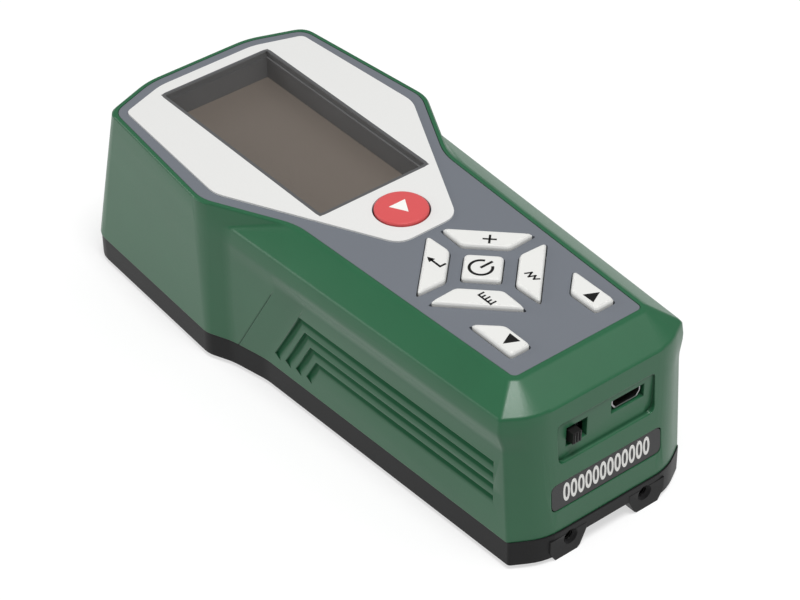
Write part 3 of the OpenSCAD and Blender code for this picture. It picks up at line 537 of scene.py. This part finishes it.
class Bench:
    """Moves of hand modelling that the pieces share."""

    @staticmethod
    def clear() -> None:
        """Leaves edit mode and deselects everything."""
        active = bpy.context.view_layer.objects.active
        if active is not None and active.mode != "OBJECT":
            bpy.ops.object.mode_set(mode="OBJECT")
        bpy.ops.object.select_all(action="DESELECT")

    @staticmethod
    def pick(thing: bpy.types.Object) -> None:
        """Makes one object the only selected and active one."""
        Bench.clear()
        thing.select_set(True)
        bpy.context.view_layer.objects.active = thing

    @staticmethod
    def settle(thing: bpy.types.Object) -> bpy.types.Object:
        """Moves an object's place, turn and scale into its mesh."""
        Bench.pick(thing)
        bpy.ops.object.transform_apply(location=True, rotation=True, scale=True)
        return thing

    @staticmethod
    def bar(start: Point, end: Point, width: float, height: float) -> bpy.types.Object:
        """Lays a flat stroke from one point to another, with square ends.

        Args:
            start: First point, in metres.
            end: Last point.
            width: Width of the stroke.
            height: Height at which it lies.

        Returns:
            The flat stroke.
        """
        Bench.clear()
        run = Vector(end) - Vector(start)
        middle = (Vector(end) + Vector(start)) / 2
        turn = (0, 0, math.atan2(run.y, run.x))
        bpy.ops.mesh.primitive_plane_add(size=1.0, location=(middle.x, middle.y, height), rotation=turn)
        stroke = bpy.context.object
        stroke.scale = (run.length + width, width, 1.0)
        return Bench.settle(stroke)

    @staticmethod
    def wedge(base: Point, apex: Point, half: float, height: float) -> bpy.types.Object:
        """Lays a flat triangle from the middle of its base to its apex.

        Args:
            base: Middle of the base, in metres.
            apex: The apex.
            half: Half length of the base.
            height: Height at which it lies.

        Returns:
            The flat triangle.
        """
        Bench.clear()
        run = Vector(apex) - Vector(base)
        # A circle of three points with radius 1 is a triangle 1.5 high, with its base 0.5 below the middle.
        bpy.ops.mesh.primitive_circle_add(vertices=3, radius=1.0, fill_type="NGON", location=(0, 0, 0))
        triangle = bpy.context.object
        bpy.ops.object.mode_set(mode="EDIT")
        bpy.ops.mesh.select_all(action="SELECT")
        bpy.ops.transform.translate(value=(0, 0.5, 0))
        stretch = (half / math.cos(math.radians(30)), run.length / 1.5, 1.0)
        bpy.ops.transform.resize(value=stretch, center_override=(0, 0, 0))
        bpy.ops.object.mode_set(mode="OBJECT")
        triangle.rotation_euler = (0, 0, math.atan2(run.y, run.x) - math.pi / 2)
        triangle.location = (base[0], base[1], height)
        return Bench.settle(triangle)

    @staticmethod
    def ring(centre: Point, radius: float, width: float, height: float, gap: float = 0.0) -> bpy.types.Object:
        """Lays a flat ring, open towards +Y where it has a gap.

        Args:
            centre: Middle of the ring, in metres.
            radius: Radius at the middle of its line.
            width: Width of the line.
            height: Height at which it lies.
            gap: Angle that stays open, in degrees.

        Returns:
            The flat ring.
        """
        Bench.clear()
        bpy.ops.mesh.primitive_circle_add(vertices=72, radius=radius + width / 2, fill_type="NGON", location=(0, 0, 0))
        ring = bpy.context.object
        bpy.ops.object.mode_set(mode="EDIT")
        bpy.ops.mesh.select_all(action="SELECT")
        bpy.ops.mesh.inset(thickness=width)
        bpy.ops.mesh.delete(type="FACE")
        bpy.ops.object.mode_set(mode="OBJECT")
        if gap:
            for face in ring.data.polygons:
                angle = math.degrees(math.atan2(face.center.x, face.center.y))
                face.select = abs(angle) < gap / 2
            bpy.ops.object.mode_set(mode="EDIT")
            bpy.ops.mesh.select_mode(type="FACE")
            bpy.ops.mesh.delete(type="FACE")
            bpy.ops.object.mode_set(mode="OBJECT")
        ring.location = (centre[0], centre[1], height)
        return Bench.settle(ring)

    @staticmethod
    def frame(low: Point, high: Point, corner: float, width: float, height: float) -> bpy.types.Object:
        """Lays a flat frame with rounded corners.

        Args:
            low: Lowest outer corner, in metres.
            high: Highest outer corner.
            corner: Size of the corner rounding.
            width: Width of the line.
            height: Height at which it lies.

        Returns:
            The flat frame.
        """
        Bench.clear()
        middle = (Vector(low) + Vector(high)) / 2
        bpy.ops.mesh.primitive_plane_add(size=1.0, location=(middle.x, middle.y, height))
        line = bpy.context.object
        line.scale = (high[0] - low[0], high[1] - low[1], 1.0)
        Bench.settle(line)
        bpy.ops.object.mode_set(mode="EDIT")
        bpy.ops.mesh.select_all(action="SELECT")
        bpy.ops.mesh.bevel(offset=corner, segments=6, affect="VERTICES")
        bpy.ops.mesh.select_all(action="SELECT")
        bpy.ops.mesh.inset(thickness=width)
        bpy.ops.mesh.delete(type="FACE")
        bpy.ops.object.mode_set(mode="OBJECT")
        return line

    @staticmethod
    def joined(name: str, parts: Sequence[bpy.types.Object]) -> bpy.types.Object:
        """Joins flat strokes into one named object.

        Args:
            name: Name of the piece.
            parts: The strokes.

        Returns:
            The joined object.
        """
        Bench.pick(parts[0])
        for part in parts:
            part.select_set(True)
        if len(parts) > 1:
            bpy.ops.object.join()
        piece = bpy.context.view_layer.objects.active
        piece.name = name
        piece.data.name = name
        return piece

    @staticmethod
    def raised(piece: bpy.types.Object, depth: float) -> bpy.types.Object:
        """Extrudes a flat piece upwards into a thin solid."""
        Bench.pick(piece)
        bpy.ops.object.mode_set(mode="EDIT")
        bpy.ops.mesh.select_all(action="SELECT")
        bpy.ops.mesh.extrude_region_move(TRANSFORM_OT_translate={"value": (0, 0, depth)})
        bpy.ops.mesh.select_all(action="SELECT")
        bpy.ops.mesh.normals_make_consistent(inside=False)
        bpy.ops.object.mode_set(mode="OBJECT")
        return piece


@dataclass
class Scene:
    """What every sub-assembly needs: the frame, its finishes and the way to hand in a piece."""

    frame: dict[str, Any]
    book: FinishBook = field(default_factory=FinishBook)

    def node(self, name: str) -> bpy.types.Object:
        """Returns a node of the frame."""
        return self.frame["nodes"][name]

    def dress(self, finishes: Mapping[str, Any]) -> None:
        """Gives nodes their finishes by name."""
        for name, finish in finishes.items():
            self.book.paint(self.node(name), finish)
            log.info("node %s: %s", name, finish.name)

    def hand_in(self, piece: bpy.types.Object, body: str, finish: Any, slot: str) -> None:
        """Paints a new piece and lets it ride on a body.

        Args:
            piece: The finished piece, with its place in its mesh.
            body: Body that it moves with.
            finish: Its finish.
            slot: The record's slot that the finish belongs to; not used.
        """
        self.book.paint(piece, finish)
        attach(piece, body)
        log.info("piece %s rides on %s", piece.name, body)


@dataclass
class Case:
    """The two mouldings of the case and the screws that hold them."""

    scene: Scene
    smooth: float = 27.0
    weld: float = 0.001 * MM
    flat: float = 0.3
    flat_weight: int = 50
    sink_radius: float = 1.8 * MM
    sink_depth: float = 0.9 * MM
    sink_taper: float = 0.6
    sink_flare: float = 0.12 * MM
    sink_over: float = 0.1 * MM
    sink_sides: int = 40
    grip_wall: float = 26.01 * MM
    grip_taper: float = 0.0419
    groove_long: Span = (1.0 * MM, 73.0 * MM)
    groove_high: Span = (9.0 * MM, 27.0 * MM)
    groove_deep: Span = (0.3 * MM, 1.5 * MM)
    groove_full: float = 1.1 * MM

    def dress(self) -> None:
        """Finishes the screws and the solids below the skins."""
        screws = {f"{kind}_screw_{i}": SCREW_STEEL for kind in ("case", "board", "frame") for i in range(1, 5)}
        self.scene.dress({"upper_housing": GREEN_CASE, "bottom_cover": BLACK_COVER, **screws})

    def build(self) -> None:
        """Skins both mouldings, so that their soft forms shade as one surface."""
        housing = self.skin("upper_housing", "housing_skin")
        # The groove depths drive the painted shade in the housing's finish.
        self.mark_grooves(housing)
        self.scene.hand_in(housing, "case", GREEN_CASE, "green_case")
        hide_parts("upper_housing")
        cover = self.skin("bottom_cover", "cover_skin")
        self.countersink(cover)
        self.scene.hand_in(cover, "case", BLACK_COVER, "black_cover")
        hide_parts("bottom_cover")

    def skin(self, node: str, name: str) -> bpy.types.Object:
        """Copies a moulding, merges its triangles and smooths its soft forms.

        Args:
            node: Node of the frame.
            name: Name of the skin.

        Returns:
            The smooth copy, with its own mesh.
        """
        Bench.pick(self.scene.node(node))
        bpy.ops.object.duplicate()
        skin = bpy.context.object
        skin.name = skin.data.name = name
        if "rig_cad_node" in skin:
            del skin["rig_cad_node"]
        bpy.ops.object.mode_set(mode="EDIT")
        bpy.ops.mesh.select_all(action="SELECT")
        bpy.ops.mesh.remove_doubles(threshold=self.weld)
        bpy.ops.mesh.dissolve_limited(angle_limit=math.radians(self.flat))
        bpy.ops.object.mode_set(mode="OBJECT")
        self.shade(skin)
        return skin

    def shade(self, skin: bpy.types.Object) -> None:
        """Smooths the soft forms and keeps the flat faces flat.

        Args:
            skin: The skin of a moulding.
        """
        Bench.pick(skin)
        bpy.ops.object.shade_smooth_by_angle(angle=math.radians(self.smooth))
        flat = skin.modifiers.new("flat_faces", "WEIGHTED_NORMAL")
        flat.keep_sharp = True
        flat.weight = self.flat_weight
        bpy.ops.object.modifier_apply(modifier=flat.name)

    def mark_grooves(self, skin: bpy.types.Object) -> None:
        """Marks how deep each point lies in the grip's grooves, where the housing's finish paints shade and lowers the
        gloss.

        Args:
            skin: The skin of the housing.
        """
        share = skin.data.attributes.new(GREEN_CASE.groove, "FLOAT", "POINT")
        spans = (self.groove_long, self.groove_high, self.groove_deep)
        for point in skin.data.vertices:
            x, y, z = point.co
            depth = self.grip_wall - self.grip_taper * x - abs(y)
            inside = all(low < at < high for at, (low, high) in zip((x, z, depth), spans))
            share.data[point.index].value = depth / self.groove_full if inside else 0.0

    def countersink(self, cover: bpy.types.Object) -> None:
        """Cuts a countersink into the mouth of each leg hole.

        Args:
            cover: The skin of the bottom cover.
        """
        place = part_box("bottom_cover")[1].x - self.sink_depth / 2 + self.sink_over
        for side in (-1, 1):
            Bench.clear()
            bpy.ops.mesh.primitive_cone_add(
                vertices=self.sink_sides, depth=self.sink_depth + 2 * self.sink_over,
                radius1=self.sink_radius - self.sink_taper * self.sink_depth,
                radius2=self.sink_radius + self.sink_flare, rotation=(0, math.pi / 2, 0),
                location=(place, side * LegHoles.across, LegHoles.height))
            tool = bpy.context.object
            Bench.pick(cover)
            cut = cover.modifiers.new("sink", "BOOLEAN")
            cut.operation = "DIFFERENCE"
            cut.object = tool
            cut.solver = "EXACT"
            bpy.ops.object.modifier_apply(modifier=cut.name)
            bpy.data.objects.remove(tool)
        self.shade(cover)


@dataclass
class LegHoles:
    """The threads in the two holes that take the standing legs."""

    scene: Scene
    across: float = 9.9 * MM
    height: float = 4.3 * MM
    radius: float = 1.25 * MM
    ridge: float = 0.16 * MM
    pitch: float = 0.5 * MM
    turns: int = 9
    steps: int = 28
    bite: float = 0.6
    sunk: float = 0.8 * MM

    def build(self) -> None:
        """Models one thread and copies it to the other hole."""
        Bench.clear()
        bpy.ops.mesh.primitive_circle_add(vertices=3, radius=self.ridge, fill_type="NOTHING", location=(0, 0, 0))
        thread = bpy.context.object
        bpy.ops.object.mode_set(mode="EDIT")
        bpy.ops.mesh.select_all(action="SELECT")
        bpy.ops.transform.translate(value=(0, self.radius - self.ridge * self.bite, 0))
        bpy.ops.object.mode_set(mode="OBJECT")
        turn = thread.modifiers.new("turns", "SCREW")
        turn.axis = "X"
        turn.screw_offset = -self.pitch
        turn.iterations = self.turns
        turn.steps = turn.render_steps = self.steps
        bpy.ops.object.modifier_apply(modifier=turn.name)
        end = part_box("bottom_cover")[1].x - self.sunk
        for side, name in ((-1, "leg_thread_left"), (1, "leg_thread_right")):
            Bench.pick(thread)
            bpy.ops.object.duplicate()
            copy = bpy.context.object
            copy.name = copy.data.name = name
            copy.location = (end, side * self.across, self.height)
            Bench.settle(copy)
            self.scene.hand_in(copy, "case", SWITCH_BLACK, "black_cover")
        bpy.data.objects.remove(thread)


@dataclass
class Face:
    """The panel, the silver plate and the window with its line."""

    scene: Scene
    line: float = 0.72 * MM
    reach: float = 0.75 * MM
    corner: float = 1.3 * MM
    ink: float = 0.05 * MM
    sunk: float = 0.4

    def dress(self) -> None:
        """Finishes the panel and everything seen through the window."""
        self.scene.dress({
            "face_panel": GREY_PANEL, "display_plate": SILVER_PLATE, "window_shroud": DARK_SHROUD,
            "window_lens": CLEAR_LENS, "lcd_panel": DISPLAY_GLASS, "backlight": LIGHT_GUIDE,
            "main_board": CIRCUIT_BOARD, "keypad_mat": KEYPAD_RUBBER, "battery": BATTERY_FILM,
        })

    def build(self) -> None:
        """Draws the grey line round the window."""
        low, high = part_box("window_lens")
        first = (low.x - self.reach, low.y - self.reach)
        last = (high.x + self.reach, high.y + self.reach)
        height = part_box("display_plate")[1].z - self.sunk * self.ink
        line = Bench.frame(first, last, self.corner, self.line, height)
        line.name = line.data.name = "window_line"
        self.scene.hand_in(Bench.raised(line, self.ink), "case", LINE_INK, "dark_shroud")


@dataclass
class Keypad:
    """The keys and the signs printed on them."""

    scene: Scene
    stroke: float = 0.48 * MM
    fine: float = 0.4 * MM
    ink: float = 0.03 * MM
    start_base: float = -1.5 * MM
    start_tip: float = 2.3 * MM
    start_half: float = 2.1 * MM
    start_ink: float = 0.1 * MM
    start_sunk: float = 0.09 * MM
    cross_at: Point = (-6.0 * MM, 6.9 * MM)
    cross_arm: float = 0.85 * MM
    profile: tuple[float, ...] = (-0.5 * MM, 0.7 * MM, -0.7 * MM, 0.6 * MM, -0.4 * MM, 0.5 * MM)
    profile_at: Point = (7.0 * MM, 5.6 * MM)
    profile_step: float = 0.62 * MM
    rule_at: Point = (6.4 * MM, -6.45 * MM)
    rule_pitch: float = 0.92 * MM
    rule_ticks: tuple[float, ...] = (1.25 * MM, 0.85 * MM, 1.25 * MM, 0.85 * MM, 1.25 * MM)
    bend_at: Point = (-9.4 * MM, -6.5 * MM)
    bend_size: Point = (4.0 * MM, 1.25 * MM)
    bend_end: float = 1.2 * MM
    bend_head: Span = (1.5 * MM, -0.1 * MM)
    bend_half: float = 0.8 * MM
    ring_radius: float = 2.35 * MM
    ring_line: float = 0.6 * MM
    ring_gap: float = 62.0
    ring_drop: float = 0.45 * MM
    ring_bar: Span = (0.2 * MM, 2.75 * MM)
    arrow_in: float = 2.9 * MM
    arrow_base: float = 1.5 * MM
    arrow_tip: float = 1.6 * MM
    arrow_half: float = 1.55 * MM

    def dress(self) -> None:
        """Finishes the key caps."""
        white = ("esc_key", "parameter_key", "unit_key", "enter_key", "power_key", "up_key", "down_key")
        self.scene.dress({"start_button": RED_KEY, **{name: WHITE_KEY for name in white}})

    def top(self, node: str, middle: str | None = None) -> Place:
        """Finds a key's top.

        Args:
            node: The key.
            middle: The key whose middle counts, where it isn't the same one.

        Returns:
            The middle across and along, and the height, in metres.
        """
        low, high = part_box(middle or node)
        return (low.x + high.x) / 2, (low.y + high.y) / 2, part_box(node)[1].z

    def print_sign(self, name: str, parts: Sequence[bpy.types.Object], body: str, finish: Any, slot: str) -> None:
        """Joins the strokes of a sign, gives them their thickness and hands them in.

        Args:
            name: Name of the sign.
            parts: Its flat strokes.
            body: Body of its key.
            finish: Its ink.
            slot: The record's slot of the key.
        """
        sign = Bench.raised(Bench.joined(name, parts), self.ink)
        self.scene.hand_in(sign, body, finish, slot)

    def lines(self, points: Sequence[Point], height: float, width: float | None = None) -> list[bpy.types.Object]:
        """Lays strokes from point to point.

        Args:
            points: The points in order, in metres.
            height: Height at which they lie.
            width: Width of the strokes, or the usual one.

        Returns:
            One stroke for each pair of points.
        """
        return [Bench.bar(a, b, width or self.stroke, height) for a, b in zip(points, points[1:])]

    def build(self) -> None:
        """Prints a sign on every key."""
        signs = (self.start_sign, self.escape_sign, self.parameter_sign, self.unit_sign, self.enter_sign,
                 self.power_sign, self.arrow_signs)
        for sign in signs:
            sign()

    def start_sign(self) -> None:
        """Prints a plain run triangle on the start button."""
        x, y, z = self.top("start_button")
        mark = Bench.wedge((x + self.start_base, y), (x + self.start_tip, y), self.start_half, z - self.start_sunk)
        mark.name = mark.data.name = "start_sign"
        self.scene.hand_in(Bench.raised(mark, self.start_ink), "start", WHITE_INK, "red_key")

    def escape_sign(self) -> None:
        """Prints a small cross on the escape key."""
        x, y, z = self.top("esc_key", "power_key")
        x, y, r = x + self.cross_at[0], y + self.cross_at[1], self.cross_arm
        strokes = self.lines([(x - r, y - r), (x + r, y + r)], z) + self.lines([(x - r, y + r), (x + r, y - r)], z)
        self.print_sign("escape_sign", strokes, "escape", BLACK_INK, "white_key")

    def parameter_sign(self) -> None:
        """Prints a short surface profile on the parameter key."""
        x, y, z = self.top("parameter_key", "power_key")
        x0, y0 = x + self.profile_at[0], y + self.profile_at[1]
        points = [(x0 + i * self.profile_step, y0 + height) for i, height in enumerate(self.profile)]
        self.print_sign("parameter_sign", self.lines(points, z, self.fine), "parameter", BLACK_INK, "white_key")

    def unit_sign(self) -> None:
        """Prints a small rule with its ticks on the unit key."""
        x, y, z = self.top("unit_key", "power_key")
        x0, y0 = x + self.rule_at[0], y + self.rule_at[1]
        end = x0 + (len(self.rule_ticks) - 1) * self.rule_pitch
        strokes = self.lines([(x0, y0), (end, y0)], z, self.fine)
        for i, length in enumerate(self.rule_ticks):
            tick = x0 + i * self.rule_pitch
            strokes += self.lines([(tick, y0), (tick, y0 + length)], z, self.fine)
        self.print_sign("unit_sign", strokes, "unit", BLACK_INK, "white_key")

    def enter_sign(self) -> None:
        """Prints a bent arrow on the enter key."""
        x, y, z = self.top("enter_key", "power_key")
        x, y = x + self.bend_at[0], y + self.bend_at[1]
        wide, high = self.bend_size
        base, tip = self.bend_head
        strokes = self.lines([(x + wide, y + high), (x + wide, y), (x + self.bend_end, y)], z)
        strokes.append(Bench.wedge((x + base, y), (x + tip, y), self.bend_half, z))
        self.print_sign("enter_sign", strokes, "enter", BLACK_INK, "white_key")

    def power_sign(self) -> None:
        """Prints the open ring and bar on the power key."""
        x, y, z = self.top("power_key")
        y0 = y - self.ring_drop
        low, high = self.ring_bar
        strokes = [Bench.ring((x, y0), self.ring_radius, self.ring_line, z, self.ring_gap)]
        strokes += self.lines([(x, y0 + low), (x, y0 + high)], z, self.ring_line)
        self.print_sign("power_sign", strokes, "power", BLACK_INK, "white_key")

    def arrow_signs(self) -> None:
        """Prints a full triangle on each of the two arrow keys."""
        for name, body, way in (("up_key", "up", 1), ("down_key", "down", -1)):
            x, y, z = self.top(name)
            x += self.arrow_in
            mark = Bench.wedge((x, y - way * self.arrow_base), (x, y + way * self.arrow_tip), self.arrow_half, z)
            self.print_sign(f"{body}_sign", [mark], body, BLACK_INK, "white_key")


@dataclass
class PortEnd:
    """The switch, the socket and the numbered plate at the port end."""

    scene: Scene
    digits: str = "000000000000"
    digit_size: float = 6.1 * MM
    squeeze: float = 0.58
    digit_gap: float = 1.08
    bold: float = 0.13 * MM
    digit_ink: float = 0.02 * MM
    facing: float = 0.999
    pad_count: int = 5
    pad_pitch: float = 0.65 * MM
    pad_width: float = 0.3 * MM
    pad_ends: Span = (0.6 * MM, 0.3 * MM)
    pad_below: float = 0.04 * MM
    pad_thick: float = 0.045 * MM
    rib_half: float = 1.0 * MM
    rib_pitch: float = 0.7 * MM
    rib_width: float = 0.26 * MM
    rib_height: float = 0.2 * MM
    rib_sunk: float = 0.02 * MM

    def dress(self) -> None:
        """Finishes the plate, the switch and the socket."""
        self.scene.dress({
            "serial_plate": SERIAL_BLACK, "switch_knob": SWITCH_BLACK, "usb_tongue": SWITCH_BLACK,
            "usb_shell": TIN_PLATE, "switch_body": TIN_PLATE,
        })

    def build(self) -> None:
        """Stamps the plate, lines the socket and ribs the knob."""
        self.stamp_plate()
        self.line_socket()
        self.rib_knob()

    def stamp_plate(self) -> None:
        """Prints a row of plain zeros on the leaning front of the plate."""
        faces = self.scene.node("serial_plate").data.polygons
        normal = max(faces, key=lambda f: f.area * f.normal.x).normal.copy()
        front = [f for f in faces if f.normal.dot(normal) > self.facing]
        area = sum(f.area for f in front)
        middle = sum((f.center * f.area for f in front), Vector()) / area
        Bench.clear()
        bpy.ops.object.text_add(location=(0, 0, 0))
        text = bpy.context.object
        text.data.body = self.digits
        text.data.size = self.digit_size
        text.data.align_x = text.data.align_y = "CENTER"
        text.data.extrude = self.digit_ink
        text.data.resolution_u = 6
        text.data.space_character = self.digit_gap
        text.data.offset = self.bold
        bpy.ops.object.convert(target="MESH")
        text = bpy.context.object
        text.name = text.data.name = "plate_numbers"
        across = Vector((0, 1, 0))
        upward = normal.cross(across)
        turn = Matrix((across * self.squeeze, upward, normal)).transposed().to_4x4()
        text.matrix_world = Matrix.Translation(middle + normal * self.digit_ink) @ turn
        self.scene.hand_in(Bench.settle(text), "case", WHITE_INK, "serial_black")

    def line_socket(self) -> None:
        """Lays the contact pads along the socket's tongue."""
        low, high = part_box("usb_tongue")
        y = (low.y + high.y) / 2
        start, end, height = low.x + self.pad_ends[0], high.x - self.pad_ends[1], low.z - self.pad_below
        pads = []
        for i in range(self.pad_count):
            across = y + (i - (self.pad_count - 1) / 2) * self.pad_pitch
            pads.append(Bench.bar((start, across), (end, across), self.pad_width, height))
        pad = Bench.raised(Bench.joined("socket_pads", pads), self.pad_thick)
        self.scene.hand_in(pad, "case", GOLD_PAD, "tin_plate")

    def rib_knob(self) -> None:
        """Adds three finger ribs to the front of the switch knob."""
        low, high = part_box("switch_knob")
        y = (low.y + high.y) / 2
        z = (low.z + high.z) / 2
        start, end = z - self.rib_half, z + self.rib_half
        places = [y + k * self.rib_pitch for k in (-1, 0, 1)]
        ribs = [Bench.bar((start, across), (end, across), self.rib_width, 0.0) for across in places]
        rib = Bench.raised(Bench.joined("knob_ribs", ribs), self.rib_height)
        rib.rotation_euler = (0, math.pi / 2, 0)
        Bench.settle(rib)
        rib.location = (high.x - self.rib_sunk, 0, 2 * z)
        self.scene.hand_in(Bench.settle(rib), "switch", SWITCH_BLACK, "switch_black")


@dataclass
class Drive:
    """The drive inside the case and the pickup in front of it."""

    scene: Scene

    def dress(self) -> None:
        """Finishes the drive and the pickup."""
        self.scene.dress({
            "drive_frame": DRIVE_ALUMINIUM, "guide_rod_left": DRIVE_STEEL, "guide_rod_right": DRIVE_STEEL,
            "lead_screw": SCREW_THREAD, "shaft_coupling": COUPLING_BRASS, "gearbox": GEARBOX_BLACK,
            "drive_motor": DRIVE_STEEL, "carriage": CARRIAGE_BLACK, "pickup_tube": PICKUP_STEEL,
            "skid_nose": PICKUP_STEEL, "stylus_arm": DRIVE_STEEL, "stylus_tip": TIP_DIAMOND,
            "stylus_pivot": DRIVE_STEEL,
        })


@dataclass(frozen=True)
class Lamp:
    """A soft box: its place and size in metres and its power in watts."""

    name: str
    place: Place
    size: float
    power: float


@dataclass
class Studio:
    """A pale floor, soft lamps and the camera at the photograph's angle."""

    aim: Place = (0.01707, -0.00149, 0.02)
    azimuth: float = 51.724
    elevation: float = 38.633
    roll: float = -0.694
    distance: float = 0.5462
    lens: float = 117.3
    sensor: float = 36.0
    near: float = 0.01
    sky: float = 0.34
    floor_size: float = 6.0
    floor_drop: float = 0.02 * MM
    floor_bounce: float = 0.52
    floor_tooth: float = 0.8 * MM
    floor_pale: float = 0.98
    floor_glow: float = 1.1
    glow_share: float = 0.55
    lamps: tuple[Lamp, ...] = (
        Lamp("top_lamp", (0.4, -0.11, 1.18), 0.42, 9.2),
        Lamp("side_lamp", (-0.875, -0.85, 0.37), 0.7, 4.4),
        Lamp("back_lamp", (0.42, 0.58, 1.02), 0.8, 2.0),
    )

    def build(self) -> None:
        """Sets up the whole studio."""
        bpy.context.scene.view_settings.view_transform = "Standard"
        self.lay_floor()
        self.hang_lamps()
        self.light_sky()
        self.set_camera()

    @staticmethod
    def seen(tree: bpy.types.NodeTree) -> Socket:
        """Returns 1 for rays that show the background, straight or in gloss and glass."""
        path = tree.nodes.new("ShaderNodeLightPath")
        total = path.outputs["Is Camera Ray"]
        for name in ("Is Glossy Ray", "Is Transmission Ray"):
            either = tree.nodes.new("ShaderNodeMath")
            either.operation = "MAXIMUM"
            tree.links.new(total, either.inputs[0])
            tree.links.new(path.outputs[name], either.inputs[1])
            total = either.outputs[0]
        return total

    def lay_floor(self) -> None:
        """Lays a wide pale floor that looks white and keeps a soft shadow."""
        Bench.clear()
        bpy.ops.mesh.primitive_plane_add(size=self.floor_size, location=(0, 0, -self.floor_drop))
        floor = bpy.context.object
        floor.name = floor.data.name = "floor"
        g = Graph("floor_paper")
        tooth = g.noise(self.floor_tooth, 2.0)
        g.wire(g.surface, {
            "Base Color": (*[self.floor_bounce] * 3, 1.0),
            "Roughness": g.spread(tooth, 0.88, 0.96),
            "Specular IOR Level": 0.0,
        })
        pale = g.add("ShaderNodeBsdfDiffuse", {"Color": (*[self.floor_pale] * 3, 1.0)})
        glow = g.add("ShaderNodeEmission", {"Color": WHITE, "Strength": self.floor_glow})
        shown = g.add("ShaderNodeMixShader", {0: self.glow_share, 1: pale.outputs[0], 2: glow.outputs[0]})
        mixed = g.add("ShaderNodeMixShader", {0: self.seen(g.tree), 1: g.surface.outputs[0], 2: shown.outputs[0]})
        g.wire(g.output, {"Surface": mixed.outputs[0]})
        floor.data.materials.append(g.material)

    def hang_lamps(self) -> None:
        """Hangs a soft box overhead, a wide soft one at the grip side and a weak one behind."""
        for kind in self.lamps:
            Bench.clear()
            bpy.ops.object.light_add(type="AREA", location=kind.place)
            lamp = bpy.context.object
            lamp.name = lamp.data.name = kind.name
            lamp.data.size = kind.size
            lamp.data.energy = kind.power
            lamp.rotation_euler = (Vector(kind.place) - Vector(self.aim)).to_track_quat("Z", "Y").to_euler()

    def light_sky(self) -> None:
        """Gives the world a soft even light, and lets it look white."""
        world = bpy.data.worlds.new("studio")
        world.use_nodes = True
        tree = world.node_tree
        back = tree.nodes["Background"]
        back.inputs["Color"].default_value = WHITE
        path = tree.nodes.new("ShaderNodeLightPath")
        level = tree.nodes.new("ShaderNodeMapRange")
        level.inputs["To Min"].default_value = self.sky
        level.inputs["To Max"].default_value = 1.0
        tree.links.new(path.outputs["Is Camera Ray"], level.inputs["Value"])
        tree.links.new(level.outputs[0], back.inputs["Strength"])
        bpy.context.scene.world = world

    def set_camera(self) -> None:
        """Puts the camera where the photograph was taken from."""
        a, e, r = (math.radians(v) for v in (self.azimuth, self.elevation, self.roll))
        back = Vector((math.sin(a) * math.cos(e), -math.cos(a) * math.cos(e), math.sin(e)))
        level = Vector((math.cos(a), math.sin(a), 0.0))
        upright = back.cross(level)
        right = math.cos(r) * level + math.sin(r) * upright
        upward = back.cross(right)
        Bench.clear()
        bpy.ops.object.camera_add()
        camera = bpy.context.object
        camera.data.lens = self.lens
        camera.data.sensor_width = self.sensor
        camera.data.sensor_fit = "HORIZONTAL"
        camera.data.clip_start = self.near
        turn = Matrix((right, upward, back)).transposed().to_4x4()
        camera.matrix_world = Matrix.Translation(Vector(self.aim) + back * self.distance) @ turn
        bpy.context.scene.camera = camera


def main() -> None:
    """Builds the sub-assemblies in order."""
    logging.basicConfig(level=logging.INFO, format="%(name)s: %(message)s")
    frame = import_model()
    scene = Scene(frame)
    Studio().build()
    LegHoles(scene).build()
    for part in (Case(scene), Face(scene), Keypad(scene), PortEnd(scene)):
        part.dress()
        part.build()
    Drive(scene).dress()


if __name__ == "__main__":
    main()
